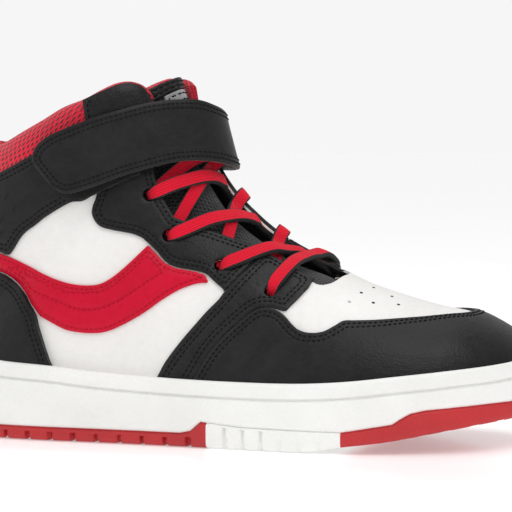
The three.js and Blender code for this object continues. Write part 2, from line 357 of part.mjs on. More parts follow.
// linings and stiffeners
const lowLining = sideCut([[-125, 5], [125, 5], [125, 73], [-20, 79], [-40, 77.6], [-60, 75.6], [-80, 73.6], [-125, 73.6]]);
put('heel_stiffener', both(...STIFF, { u0: 12 }).intersect(sideCut([[-125, 5], [-56, 5], [-60, 40], [-70, 56], [-125, 60]])), 0xcfc6b4, 0.8);
put('toe_puff', both(...STIFF, { u1: 8 }).intersect(sideCut([[60, 5], [125, 5], [125, 60], [60, 60]])), 0xcfc6b4, 0.8);
const throatWide = planCut([[41, -25], [43, -12], [44, 0], [43, 12], [41, 25], [15, 25], [15, -25]], 44, 130);
put('vamp_lining', both(...LINING, { u1: 10.5 }).intersect(sideCut([[20.2, 5], [125, 5], [125, 90], [20.2, 90]])).subtract(throatWide), 0xd8d8d8, 0.9);
put('quarter_lining', half(-1, ...LINING, { u0: 10 }).add(half(1, ...LINING, { u0: 10 })).intersect(lowLining).subtract(sideCut([[19.9, 0], [125, 0], [125, 90], [19.9, 90]])).subtract(throatWide).subtract(holes).subtract(sideCut([[-36, 80], [-34, 70], [-26, 64], [-13, 60], [-4, 53], [14, 46], [22, 46], [40, 90], [-36, 90]])), MESH_RED, 0.9);

// overlays
const anklePoly = sideCut([...ANKLE_LOW, ...ANKLE_TOP]);
const stripePoly = (g = 0) => sideCut([...STRIPE_TOP, [-24.5, 64.5], [-21.2, 61.3], [-17.4, 59.6], [-10.4, 58.4], [-6.9, 57.4], ...STRIPE_BOT, ...shift(COUNTER.slice(6), 0.4, 0.5)]);
const counterPoly = sideCut([...COUNTER, [-125, 5], [-59, 5]]);
const eyePoly = sideCut([[-46.1, 103.6], ...EYE, ...shift(SADDLE_L.slice(7), -0.35, 0.1), [30, 90], [10, 103.6]]);
const saddlePoly = sideCut([...SADDLE_L, [40, 74], [31, 58.5], [29.2, 55.5], [28.7, 53.4], [26.3, 50.3], [22.9, 46], [20.9, 46], [17.8, 47.1], [14.3, 47.2], [11, 45.8], [6.3, 41.7], [1.7, 37.3], [-2.7, 32.2], [-7.1, 24.9], [-10, 19.9], [-12, 10], [-26, 10]]);
const toePoly = sideCut([...TOECAP, [125, 60], [125, 5], [-12, 5]]);
for (const [n, s] of [['lateral', -1], ['medial', 1]]) {
  const all = half(s, ...OVER, { u0: 8.9 }).intersect(sideHalf(s));
  put('eyestay_' + n, all.intersect(eyePoly).subtract(holes), BLACK, 0.5);
  put('saddle_' + n, half(s, ...OVER, { u0: 8.7, u1: 14 }).intersect(saddlePoly).subtract(holes), BLACK, 0.5);
  put('side_stripe_' + n, half(s, ...STRIPE, { u0: 9 }).intersect(stripePoly()).intersect(sideHalf(s)), RED, 0.5);
  put('ankle_panel_' + n, half(s, ...OVER, { u0: 12 }).intersect(anklePoly).intersect(sideHalf(s)), BLACK, 0.5);
  put('collar_pad_' + n, half(s, 0.3, 2.2, { u0: 15 }).intersect(sideCut(s < 0 ? PAD : PAD_M)), BLACK, 0.5);
}
put('heel_counter', both(...OVER, { u0: 12 }).intersect(counterPoly), BLACK, 0.5);
put('toe_cap', both(...OVER, { u1: 13 }).intersect(toePoly), BLACK, 0.5);
put('heel_backstay', both(2.0, 2.9, { u0: 17 }).intersect(sideCut([[-125, 58], [-90, 58], [-90, 99], [-125, 99]])).intersect(box(-130, -90, -8, 8, 0, 160)), BLACK, 0.5);

// tongue: under the eyestays, inside the padded collar
const tongueOut = (u, th) => -4.0 + 3.0 * ss(16.5, 18.5, u) * (1 - ss(0.03, 0.1, th)) - 4.2 * ss(13.4, 15.6, u) * ss(0.13, 0.31, th);
const TONGUE_U = [8.1, 9.5, 11, 12.5, 13.8, 14.7, 15.6, 16.6, 17.6, 18.8, 19.7, 20.6], TONGUE_F = [-1, -0.72, -0.46, -0.28, -0.14, 0, 0.14, 0.28, 0.46, 0.72, 1];
const tongueEdge = (u) => (0.30 + 0.20 * ss(8, 11, u)) * (1 - 0.3 * ss(15, 19, u));
function tonguePoint(u, f, d) {
  const th = Math.abs(f) * tongueEdge(u), side = f < 0 ? -1 : 1, q = station(u), p = surf(u, th, -1);
  p[1] = side * Math.abs(p[1] - q[8]) + q[8];
  let n = normal(u, th, -1); n = [n[0], side * Math.abs(n[1]), n[2]];
  if (th < 0.001) { const m = sideNormal(u, 0.03, -1); n = unit([m[0], 0, m[2]]); }
  return add(p, n, tongueOut(u, th) + d);
}
const tongueTaper = (u) => 0.45 + 0.55 * ss(8, 12, u);
const tongueLayer = (a, b) => slab(TONGUE_U.length, TONGUE_F.length, (i, j, o) => tonguePoint(TONGUE_U[i], TONGUE_F[j], -(o ? a : b) * tongueTaper(TONGUE_U[i])));
const tongueBadge = (d0, d1, U, F) => slab(U.length, F.length, (i, j, o) => tonguePoint(U[i], F[j], o ? d1 : d0));
put('tongue_mesh', tongueLayer(0, 0.8), 0x1c1c1c, 0.9);
put('tongue_foam', tongueLayer(1.3, 4.7), 0xd9c9a0, 0.95);
put('tongue_lining', tongueLayer(5.2, 6.0), MESH_RED, 0.9);
put('tongue_patch', tongueBadge(0.4, 1.2, [19.75, 20.6], [-0.46, -0.28, -0.14, 0, 0.14, 0.28, 0.46]), BLACK, 0.5);
put('tongue_label', tongueBadge(0.4, 1.0, [18.85, 19.65], [-0.28, -0.14, 0, 0.14, 0.28]), 0xb4b4b4, 0.6);

// laces
put('elastic_lace', lace, 0xe6142d, 0.85);

// strap: edge curves at the inner face, from the outer side's rear end round the front to the inner side
const STRAP = [ // bottom edge, top edge
  [[-57.5, -29.2, 84.6], [-69.4, -27.9, 98.0]],
  [[-52, -28.8, 85.4], [-62, -28.9, 104.2]],
  [[-44, -27.4, 88.0], [-54, -28.2, 107.9]],
  [[-36, -25.0, 91.1], [-46, -26.6, 111.0]],
  [[-28, -21.8, 93.6], [-38, -24.0, 113.5]],
  [[-20.5, -17.6, 95.6], [-29.5, -20.0, 115.9]],
  [[-13.2, -12.4, 96.2], [-21.5, -14.9, 117.1]],
  [[-7.6, -6.6, 95.4], [-14.6, -8.8, 116.9]],
  [[-4.6, 0, 93.8], [-10.6, -1.2, 114.6]],
  [[-4.8, 6.4, 92.6], [-10.2, 6.0, 112.8]],
  [[-8.2, 13.0, 92.0], [-13.0, 12.8, 112.0]],
  [[-14.4, 19.2, 91.6], [-19.0, 18.6, 111.8]],
  [[-22.5, 24.0, 90.8], [-27.4, 22.9, 111.2]],
  [[-31, 27.2, 89.8], [-36.4, 26.0, 110.2]],
  [[-40, 29.2, 88.4], [-45.4, 28.2, 108.8]],
  [[-49, 30.2, 86.6], [-54.4, 29.4, 107.0]],
];
function strapPart(i0, i1, t0, t1, inset = 0) {
  const rows = [];
  const lerp3 = (a, b, t) => a.map((v, k) => v + (b[k] - v) * t);
  const get = (x) => { const i = Math.min(Math.floor(x), STRAP.length - 2), t = x - i; return [0, 1].map((k) => lerp3(STRAP[i][k], STRAP[i + 1][k], t)); };
  for (const x of range(i0, i1)) {
    const [b, t] = get(x), [b0, tt0] = get(Math.max(0, x - 0.5)), [b1, t1_] = get(Math.min(STRAP.length - 1, x + 0.5));
    const along = unit(sub(add(b1, t1_), add(b0, tt0))), up = unit(sub(t, b)), n = unit(cross(along, up));
    rows.push({ b: add(b, up, inset), t: add(t, up, -inset), n });
  }
  return slab(rows.length, 2, (i, j, o) => add(j ? rows[i].t : rows[i].b, rows[i].n, o ? t1 : t0));
}
const STRAP_PEEL_AT = 5.0, STRAP_SWING_AT = 12.4;
put('strap_end', strapPart(0, STRAP_PEEL_AT - 0.06, 0.9, 0.9 + STRAP_T), BLACK, 0.5);
put('strap_band', strapPart(STRAP_PEEL_AT + 0.0, STRAP_SWING_AT - 0.06, 0.9, 0.9 + STRAP_T), BLACK, 0.5);
put('strap_anchor', strapPart(STRAP_SWING_AT, 15, 0.9, 0.9 + STRAP_T), BLACK, 0.5);
put('strap_hook_patch', strapPart(0.35, STRAP_PEEL_AT - 0.5, 0.9 - 0.15 - HOOK_T, 0.9 - 0.15, 2.2), 0x181818, 0.95);
put('strap_loop_patch', half(-1, ...PATCH, { u0: 13 }).intersect(sideCut([[-58.6, 84.2], [-55.4, 82.6], [-50.9, 82.9], [-46.5, 84.6], [-39.9, 87.6], [-31.7, 91.4], [-30, 104], [-47, 103], [-62, 97]])), 0x141414, 0.95);

export default shoe;
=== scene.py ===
import bpy, math, json
import numpy as np
from mathutils import Vector, Matrix
from mathutils.geometry import delaunay_2d_cdt


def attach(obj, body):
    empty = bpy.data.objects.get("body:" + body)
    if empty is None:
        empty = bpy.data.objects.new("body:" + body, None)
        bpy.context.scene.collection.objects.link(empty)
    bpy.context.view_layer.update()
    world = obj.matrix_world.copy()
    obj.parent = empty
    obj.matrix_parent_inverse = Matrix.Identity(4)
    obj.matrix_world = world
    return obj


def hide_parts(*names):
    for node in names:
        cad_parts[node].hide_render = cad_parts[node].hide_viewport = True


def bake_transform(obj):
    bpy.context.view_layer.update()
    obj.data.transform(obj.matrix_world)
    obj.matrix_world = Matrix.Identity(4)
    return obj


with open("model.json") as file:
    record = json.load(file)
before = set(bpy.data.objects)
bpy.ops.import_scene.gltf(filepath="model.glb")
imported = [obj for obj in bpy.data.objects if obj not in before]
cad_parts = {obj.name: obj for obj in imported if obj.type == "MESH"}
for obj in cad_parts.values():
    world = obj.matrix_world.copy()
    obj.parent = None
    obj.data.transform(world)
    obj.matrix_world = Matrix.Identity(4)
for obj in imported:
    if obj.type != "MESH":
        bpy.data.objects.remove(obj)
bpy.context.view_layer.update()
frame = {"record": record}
ORIGIN = np.array([-1.85, 0.65, 0.0])
ST = [
    [101.0, 18.5, 101.0, 18.5, 0.0, 1, 2.6, 2.2, 6.0, 6.0],
    [101.8, 24.5, 98.9, 18.0, 8.5, 1, 2.6, 2.2, 6.0, 6.0],
    [100.4, 30.0, 95.2, 17.4, 15.5, 1, 2.6, 2.2, 5.8, 5.8],
    [96.8, 35.2, 89.5, 16.8, 22.0, 1, 2.6, 2.2, 5.4, 5.4],
    [90.5, 39.8, 82.0, 16.2, 28.0, 1, 2.6, 2.2, 4.6, 4.6],
    [80.5, 44.5, 73.0, 15.5, 33.0, 1, 2.5, 2.2, 3.6, 3.6],
    [68.0, 47.1, 62.0, 15.0, 36.0, 1, 2.4, 2.2, 2.4, 2.4],
    [55.0, 50.7, 49.0, 14.5, 37.8, 1, 2.3, 2.2, 1.2, 1.2],
    [43.0, 54.7, 36.0, 14.0, 38.0, 1, 2.2, 2.2, 0.4, 0.4],
    [31.0, 60.1, 22.0, 14.0, 36.8, 1, 2.2, 2.2, 0.0, 0.0],
    [19.5, 64.3, 7.0, 14.0, 34.6, 1, 2.2, 2.2, 0.0, -0.4],
    [9.0, 70.2, -9.0, 14.0, 32.4, 1, 2.3, 2.2, 0.0, -0.8],
    [0.5, 76.9, -26.0, 14.3, 30.8, 1, 2.4, 2.2, 0.0, -0.8],
    [-6.0, 83.9, -44.0, 15.0, 30.0, 1, 2.5, 2.2, 0.0, -0.6],
    [-10.6, 90.8, -62.0, 16.0, 30.0, 0.98, 2.5, 2.2, 0.0, -0.3],
    [-14.0, 97.5, -80.0, 17.0, 30.6, 0.9, 2.5, 2.2, 0.0, 0.0],
    [-16.3, 103.3, -93.0, 18.0, 31.2, 0.68, 2.5, 2.2, 0.0, 0.0],
    [-18.0, 108.2, -100.5, 19.5, 31.4, 0.38, 2.5, 2.2, 0.0, 0.0],
    [-19.6, 112.6, -105.0, 24.0, 31.5, 0.0, 2.4, 2.2, 0.0, 0.0],
    [-21.3, 117.5, -107.5, 42.0, 31.8, 0.0, 2.4, 2.2, 0.0, 0.0],
    [-23.0, 122.4, -106.0, 62.0, 32.0, 0.0, 2.3, 2.2, 0.0, 0.0],
    [-24.6, 127.3, -102.5, 82.0, 31.6, 0.0, 2.3, 2.2, 0.0, 0.0],
    [-26.0, 132.2, -100.0, 101.0, 31.4, 0.0, 2.2, 2.2, 0.0, 0.0],
    [-27.3, 137.2, -100.5, 120.0, 31.4, 0.0, 2.2, 2.2, 0.0, 0.0],
    ]
LIFT = [0, 0, 0, 0, 0, 0, 0, 0, 0, 0.5, 1.5, 2, 2.5, 2.5, 2.5, 3, 3.5, 4, 5, 5.5, 6, 6, 6, 6]
THROAT_L = [[8.45, 0], [8.9, 0.29], [9.5, 0.26], [10.3, 0.232], [11.1, 0.248], [12.2, 0.31], [13, 0.355], [13.9, 0.39], [14.75, 0.363], [15.75, 0.317], [17, 0.25], [18, 0.21], [19.26, 0.179], [23, 0.165]]
THROAT_M = [[8.45, 0], [8.9, 0.19], [10, 0.16], [15, 0.155], [16.5, 0.14], [18, 0.12], [23, 0.115]]
TOPLINE = [[-104, 104], [-98, 102.4], [-92, 101.4], [-87, 101.4], [-82.6, 102.5], [-74.1, 106.6], [-66.2, 110.5], [-58.9, 114.6], [-50.9, 117.6], [-45.5, 120.5], [-40.3, 123], [-36.2, 123.6], [-32.8, 122.7], [-30.3, 120.7], [-28.3, 116.7], [-27, 112], [-24, 108], [-10, 104]]
TOPLINE_M = [[-104, 104], [-98, 102.4], [-92, 101.4], [-87, 101.6], [-80, 103.2], [-70, 107.4], [-60, 112], [-50, 116.4], [-42, 119.6], [-35, 122.2], [-29, 123.8], [-24.5, 124], [-21, 122.4], [-18.6, 119], [-16, 114], [-10, 106]]
COLLAR_SPLIT = [[-125, 78], [-98, 78], [-84, 81], [-70, 87], [-60, 92.5], [-50, 98], [-40, 103], [-28, 106], [-10, 107], [30, 107]]
EYE = [[-46.1, 86], [-46.3, 83.3], [-47.3, 80], [-47.1, 77.1], [-44.6, 73.8], [-39.9, 72.4], [-34.1, 71.4], [-30.1, 70], [-27.1, 67.7], [-24.1, 65], [-20.9, 61.8], [-17.2, 60.1], [-10.2, 58.9], [-6.7, 57.9], [-3.6, 55.5], [0.2, 52.7]]
SADDLE_L = [[-23, 20], [-21, 23.7], [-18.4, 28.4], [-13.6, 34.8], [-8.5, 40.9], [-4.5, 45.6], [-1.1, 49.2], [0.7, 51.9], [4.4, 56.7], [6.8, 59.7], [8.8, 62.4], [10.8, 64.6], [14, 69], [18, 74]]
TOECAP = [[-10, 19.5], [-7.1, 24.5], [-2.7, 31.8], [1.7, 36.9], [6.3, 41.3], [11, 45.4], [14.3, 46.8], [17.8, 46.7], [20.9, 45.6], [23.3, 44.1], [25.8, 41.9], [28.5, 40], [32.3, 39.1], [36.7, 39.5], [40.3, 41.4], [42.8, 42.9], [46.5, 43], [52.8, 43.1], [60.5, 43.5], [68.7, 43.9], [75, 44.3], [80.4, 44.5], [83, 45.6], [88, 50]]
STRIPE_TOP = [[-125, 66.5], [-98, 66], [-90, 65], [-82.2, 63.5], [-76.9, 61.9], [-69.1, 58.7], [-60.8, 55.6], [-53.9, 53.8], [-47.3, 53.4], [-42.6, 54.3], [-38, 57.2], [-33.5, 61.2], [-29.2, 65.5], [-27.4, 67.3]]
STRIPE_BOT = [[-5.4, 55], [-9.8, 54.6], [-15.5, 52.5], [-21.1, 49.1], [-26.7, 45], [-32.5, 41.5], [-38.4, 38.6], [-43.2, 37.3], [-49.3, 37.2], [-55.4, 38.1], [-61.5, 40.8], [-65, 42.5]]
COUNTER = [[-59, 18], [-60.3, 25.1], [-61.4, 27.6], [-63.3, 32.8], [-65.3, 38.4], [-66.7, 42.9], [-69, 46.3], [-71.7, 50.1], [-75.8, 53.3], [-79.1, 55.5], [-82.4, 56.8], [-90, 58.6], [-99, 59.6], [-125, 60]]
ANKLE_LOW = [[-46.6, 85], [-50.9, 82.3], [-54.9, 81.9], [-59.9, 79.3], [-64.6, 76.4], [-67.9, 73.9], [-71.9, 71.2], [-74.4, 68.4], [-76.8, 64.9], [-78.6, 63.2], [-82.2, 64.1], [-90, 65.6], [-98, 66.6], [-125, 67.1]]
ANKLE_TOP = [[-125, 88], [-98, 87.5], [-90, 88.8], [-82.3, 91.5], [-75.9, 94.5], [-70.7, 97.2], [-64.3, 100.6], [-57.1, 105.4], [-50.2, 110.2], [-46.6, 112.4]]
PAD = [[-45.7, 104], [-45.7, 113.4], [-48.8, 111.6], [-50.9, 117.2], [-45.5, 119.4], [-40.3, 121.9], [-36.2, 122.5], [-33.2, 121.5], [-31.2, 119.2], [-29.4, 116], [-27.6, 112], [-20, 104]]
PAD_M = [[-45.7, 104], [-45.7, 113.6], [-47.4, 112.9], [-48.6, 115.9], [-42, 118.6], [-35, 121], [-29, 122.6], [-24.5, 122.8], [-21.5, 121.2], [-19.4, 118], [-17, 113], [-10, 104]]
THROAT_PLAN = [[18, -13.2], [24.1, -14.6], [28.6, -16.6], [31.2, -17], [33.6, -15.9], [35.7, -12], [37, -3.7], [37.2, 0], [36.8, 4], [35, 7.5], [31, 9.4], [24, 8.8], [18, 8.4], [8, 8.4], [-10, 8.5], [-24, 9], [-24, -18], [-10, -17], [0, -14.6], [8, -13.3]]
EYELETS_L = [[15.4, 0.37], [13.66, 0.455], [11.65, 0.44], [10.01, 0.45]]
EYELETS_M = [[14.75, 0.25], [12.95, 0.26], [11.05, 0.27], [9.25, 0.31]]
STRAP = [
    [[-57.5, -29.2, 84.6], [-69.4, -27.9, 98.0]],
    [[-52, -28.8, 85.4], [-62, -28.9, 104.2]],
    [[-44, -27.4, 88.0], [-54, -28.2, 107.9]],
    [[-36, -25.0, 91.1], [-46, -26.6, 111.0]],
    [[-28, -21.8, 93.6], [-38, -24.0, 113.5]],
    [[-20.5, -17.6, 95.6], [-29.5, -20.0, 115.9]],
    [[-13.2, -12.4, 96.2], [-21.5, -14.9, 117.1]],
    [[-7.6, -6.6, 95.4], [-14.6, -8.8, 116.9]],
    [[-4.6, 0, 93.8], [-10.6, -1.2, 114.6]],
    [[-4.8, 6.4, 92.6], [-10.2, 6.0, 112.8]],
    [[-8.2, 13.0, 92.0], [-13.0, 12.8, 112.0]],
    [[-14.4, 19.2, 91.6], [-19.0, 18.6, 111.8]],
    [[-22.5, 24.0, 90.8], [-27.4, 22.9, 111.2]],
    [[-31, 27.2, 89.8], [-36.4, 26.0, 110.2]],
    [[-40, 29.2, 88.4], [-45.4, 28.2, 108.8]],
    [[-49, 30.2, 86.6], [-54.4, 29.4, 107.0]],
    ]
PLAN = [[105.5, 0, 6.2], [104.6, 7, 6.2], [102.2, 13, 6.1], [98, 20, 5.8], [92, 26.3, 5.4], [84, 32, 4.7], [74, 37, 3.7], [62, 40.3, 2.4], [49, 42, 1.2], [36, 42.3, 0.4], [22, 41.2, 0], [7, 39, -0.4], [-9, 36.8, -0.8], [-26, 35.2, -0.8], [-44, 34.4, -0.6], [-62, 34, -0.3], [-76, 32.6, 0], [-88, 29, 0], [-97, 23.5, 0], [-104, 15.5, 0], [-107.8, 8, 0], [-109, 0, 0]]
SOLE_TOP = [[112, 32.6], [96.7, 29.5], [79.4, 27.6], [63.8, 26], [47.6, 24.2], [30.5, 23.1], [12.4, 22.8], [-5.9, 22.9], [-24.4, 23.4], [-42.8, 24.3], [-61.3, 25.9], [-80.8, 27], [-95, 29], [-112, 31.4]]
ST = np.array(ST, float); LIFT = np.array(LIFT, float); STRAP = np.array(STRAP, float)


# ---------------------------------------------------------------- the upper's surface, in mm
def ss(a, b, v):
    t = np.clip((np.asarray(v, float) - a) / (b - a), 0, 1)
    return t * t * (3 - 2 * t)


def table(tab, u):
    t = np.array(tab, float)
    return np.interp(u, t[:, 0], t[:, 1])


def spline(tab, u):
    u = np.clip(np.asarray(u, float), 0, len(tab) - 1 - 1e-9)
    i = np.floor(u).astype(int)
    t = (u - i)[..., None]
    ext = np.concatenate([[2 * tab[0] - tab[1]], tab, [2 * tab[-1] - tab[-2]]])
    a, b, c, d = ext[i], ext[i + 1], ext[i + 2], ext[np.minimum(i + 3, len(ext) - 1)]
    return 0.5 * (2 * b + (c - a) * t + (2 * a - 5 * b + 4 * c - d) * t ** 2 + (3 * b - a - 3 * c + d) * t ** 3)


def surf(u, th, side):
    u, th, side = np.broadcast_arrays(*[np.asarray(v, float) for v in (u, th, side)])
    q = spline(ST, u)
    tx, tz, bx, bz, w0, c, n, k, yt, yb = [q[..., j] for j in range(10)]
    c = np.clip(c, 0, 1)
    s = np.clip(c * np.cos(np.pi * th / 2) + (1 - c) * (1 + np.cos(np.pi * th)) / 2, 0, 1)
    w = w0 * np.sqrt(np.clip(1 - s ** n, 0, None)) * (c + (1 - c) * np.sqrt(np.clip(1 - (1 - s) ** k, 0, None)))
    p = np.stack([bx + (tx - bx) * s, yb + (yt - yb) * s + side * w, bz + (tz - bz) * s], -1)
    L = np.hypot(tx - bx, tz - bz) + 1e-9
    a = np.interp(u, np.arange(24), LIFT) * ss(0, 0.1, th) * (1 - ss(0.25, 0.75, th)) * (side > 0)
    p[..., 0] += a * (tx - bx) / L
    p[..., 2] += a * (tz - bz) / L
    return p


def unit(v):
    return v / (np.linalg.norm(v, axis=-1, keepdims=True) + 1e-12)


def side_normal(u, th, side):
    e = 0.02
    u0, t0 = np.clip(u - e, 0.15, 22.95), np.clip(th - e, 0.01, 0.95)
    du = surf(u0 + 2 * e, th, side) - surf(u0, th, side)
    dt = surf(np.maximum(u, 0.2), t0 + 2 * e, side) - surf(np.maximum(u, 0.2), t0, side)
    return unit(np.cross(dt, du) * np.asarray(side)[..., None])


def normal(u, th, side):
    u, th, side = np.broadcast_arrays(*[np.asarray(v, float) for v in (u, th, side)])
    n = side_normal(u, np.clip(th, 0.012, 0.985), side)
    closed = spline(ST, u)[..., 5] < 0.02
    for cond, t in ((th < 0.04, 0.03), ((th > 0.96) & closed, 0.97)):
        m = unit(side_normal(u, np.full(u.shape, t), np.full(u.shape, -1.0)) + side_normal(u, np.full(u.shape, t), np.full(u.shape, 1.0)))
        w = (1 - ss(0.0, 0.04, th)) if t < 0.5 else ss(0.96, 1.0, th)
        mix = unit(m * w[..., None] + n * (1 - w[..., None]))
        n = np.where(cond[..., None], mix, n)
    tip = (1 - ss(0.0, 0.25, u))[..., None]
    return unit(n * (1 - tip) + unit(np.array([0.95, 0.12, 0.15])) * tip)


def edge_of(u, side):
    return np.where(np.asarray(side) < 0, table(THROAT_L, u), table(THROAT_M, u))


def at(u, th, side, d):
    return surf(u, th, side) + normal(u, th, side) * np.asarray(d)[..., None]


# ---------------------------------------------------------------- meshes
def mesh(name, pts, faces, mat, smooth=True, uv=None, sharp=None):
    me = bpy.data.meshes.new(name)
    me.from_pydata(((np.asarray(pts) - ORIGIN) / 1000).tolist(), [], [tuple(int(i) for i in f) for f in faces])
    me.validate()
    if uv is not None:
        layer = me.uv_layers.new(name="UVMap")
        idx = np.zeros(len(me.loops), int)
        me.loops.foreach_get("vertex_index", idx)
        layer.data.foreach_set("uv", np.asarray(uv, np.float32)[idx].ravel())
    me.update()
    if smooth:
        me.shade_smooth()
    if sharp:
        me.set_sharp_from_angle(angle=math.radians(sharp))
    o = bpy.data.objects.new(name, me)
    bpy.context.collection.objects.link(o)
    for m in mat if isinstance(mat, (list, tuple)) else [mat]:
        me.materials.append(m)
    return o


def poly_field(poly, x, z):
    """Distance to an outline, positive inside."""
    p = np.array(poly, float)
    q = np.roll(p, -1, 0)
    X, Z = x[:, None], z[:, None]
    best = np.full(len(x), 1e9)
    inside = np.zeros(len(x), bool)
    for a, b in zip(p, q):
        d = b - a
        t = np.clip(((x - a[0]) * d[0] + (z - a[1]) * d[1]) / (d @ d + 1e-12), 0, 1)
        best = np.minimum(best, np.hypot(x - a[0] - t * d[0], z - a[1] - t * d[1]))
        hit = (a[1] > z) != (b[1] > z)
        with np.errstate(divide="ignore", invalid="ignore"):
            xc = a[0] + (z - a[1]) * d[0] / (d[1] if abs(d[1]) > 1e-12 else 1e-12)
        inside ^= hit & (x < xc)
    return np.where(inside, best, -best)


def smooth_line(pts, closed=False, n=6):
    p = np.array(pts, float)
    m = len(p)
    idx = (lambda i: i % m) if closed else (lambda i: min(max(i, 0), m - 1))
    out = []
    for i in range(m if closed else m - 1):
        a, b, c, d = p[idx(i - 1)], p[i], p[idx(i + 1)], p[idx(i + 2)]
        for k in range(n):
            t = k / n
            out.append(0.5 * (2 * b + (c - a) * t + (2 * a - 5 * b + 4 * c - d) * t * t + (3 * b - a - 3 * c + d) * t ** 3))
    if not closed:
        out.append(p[-1])
    return [list(v) for v in out]


def grid(side, u0, u1, du=0.075, nt=104, kind="side"):
    """u, th, side for a sheet of the upper; kind toe or heel joins both sides at the instep or at the heel."""
    U = np.arange(u0, u1 + du / 2, du)
    if kind == "side":
        F = np.linspace(0, 1, nt)
        S = np.full(nt, float(side))
    else:
        F = np.linspace(-1, 1, 2 * nt - 1)
        S = np.where(F < 0, -1.0, 1.0)
        F = np.abs(F)
        if kind == "heel":
            F = 1 - F
    uu, ff = np.meshgrid(U, F, indexing="ij")
    sd = np.broadcast_to(S, uu.shape)
    e = edge_of(uu, sd)
    th = e + (1 - e) * ff
    nu, nv = uu.shape
    i, j = np.meshgrid(np.arange(nu - 1), np.arange(nv - 1), indexing="ij")
    a = (i * nv + j).ravel()
    tri = np.concatenate([np.stack([a, a + nv, a + nv + 1], 1), np.stack([a, a + nv + 1, a + 1], 1)])
    P = surf(uu, th, sd)
    s = np.concatenate([np.zeros((nu, 1)), np.cumsum(np.linalg.norm(np.diff(P, axis=1), axis=2), 1)], 1)
    if kind == "side":
        s = s - s[:, -1:]  # measured from the feather line or heel
    else:
        s = s - s[:, nv // 2 : nv // 2 + 1]
    t = np.concatenate([np.zeros((1, nv)), np.cumsum(np.linalg.norm(np.diff(P, axis=0), axis=2), 0)], 0)
    t = np.broadcast_to(t[:, nv // 2 : nv // 2 + 1] if kind == "side" else t[:, nv // 4 : nv // 4 + 1], s.shape)
    A = np.stack([uu, th, sd, s, t], -1).reshape(-1, 5)
    return A, tri, P.reshape(-1, 3)


def cut(A, tri, f):
    """Keeps the part of the triangles where f > 0, cutting those that cross."""
    f = np.where(np.abs(f) < 1e-4, 1e-4, f)
    pos = f[tri] > 0
    k = pos.sum(1)
    full = tri[k == 3]
    new, cache, extra, faces = [], {}, [], []
    N = len(A)

    def cross(a, b):
        key = (a, b) if a < b else (b, a)
        if key not in cache:
            t = f[a] / (f[a] - f[b])
            v = A[a] + (A[b] - A[a]) * t
            if A[a][2] != A[b][2]:
                v[2] = A[a][2]
            cache[key] = N + len(extra)
            extra.append(v)
        return cache[key]

    for T, P in zip(tri[k == 1].tolist(), pos[k == 1].tolist()):
        i = P.index(True)
        a, b, c = T[i], T[(i + 1) % 3], T[(i + 2) % 3]
        faces.append([a, cross(a, b), cross(a, c)])
    for T, P in zip(tri[k == 2].tolist(), pos[k == 2].tolist()):
        i = P.index(False)
        a, b, c = T[i], T[(i + 1) % 3], T[(i + 2) % 3]
        ab, ac = cross(a, b), cross(a, c)
        faces += [[ab, b, c], [ab, c, ac]]
    A2 = np.concatenate([A, np.array(extra).reshape(-1, A.shape[1])]) if extra else A
    T2 = np.concatenate([full, np.array(faces, int).reshape(-1, 3)]) if faces else full
    used = np.unique(T2)
    remap = np.full(len(A2), -1)
    remap[used] = np.arange(len(used))
    return A2[used], remap[T2]


def boundary(T):
    e = np.concatenate([T[:, [0, 1]], T[:, [1, 2]], T[:, [2, 0]]])
    key = np.sort(e, 1)
    _, inv, cnt = np.unique(key, axis=0, return_inverse=True, return_counts=True)
    return e[cnt[inv.ravel()] == 1]


def near(P, Q, chunk=1500):
    out = np.empty(len(P))
    for i in range(0, len(P), chunk):
        d = P[i : i + chunk, None, :] - Q[None]
        out[i : i + chunk] = np.sqrt((d * d).sum(-1).min(1))
    return out


def contour(P, T, D, level):
    """Chains of points where D crosses a level."""
    g = D - level
    g = np.where(np.abs(g) < 1e-6, 1e-6, g)
    pos = g[T] > 0
    k = pos.sum(1)
    segs = []
    for t, p in zip(T[(k == 1) | (k == 2)].tolist(), pos[(k == 1) | (k == 2)].tolist()):
        i = p.index(True) if sum(p) == 1 else p.index(False)
        a = t[i]
        segs.append([tuple(sorted((a, t[(i + 1) % 3]))), tuple(sorted((a, t[(i + 2) % 3])))])
    link = {}
    for a, b in segs:
        link.setdefault(a, []).append(b)
        link.setdefault(b, []).append(a)
    seen, chains = set(), []
    ends = [q for q in link if len(link[q]) == 1] + list(link)
    for s0 in ends:
        if s0 in seen:
            continue
        chain, cur = [s0], s0
        seen.add(s0)
        while True:
            nxt = [n for n in link[cur] if n not in seen]
            if not nxt:
                break
            cur = nxt[0]
            seen.add(cur)
            chain.append(cur)
        if len(chain) > 4:
            closed = s0 in link[cur] and len(chain) > 8
            c = chain + ([s0] if closed else [])
            chains.append(np.array([P[a] + (P[b] - P[a]) * (g[a] / (g[a] - g[b])) for a, b in c]))
    return chains


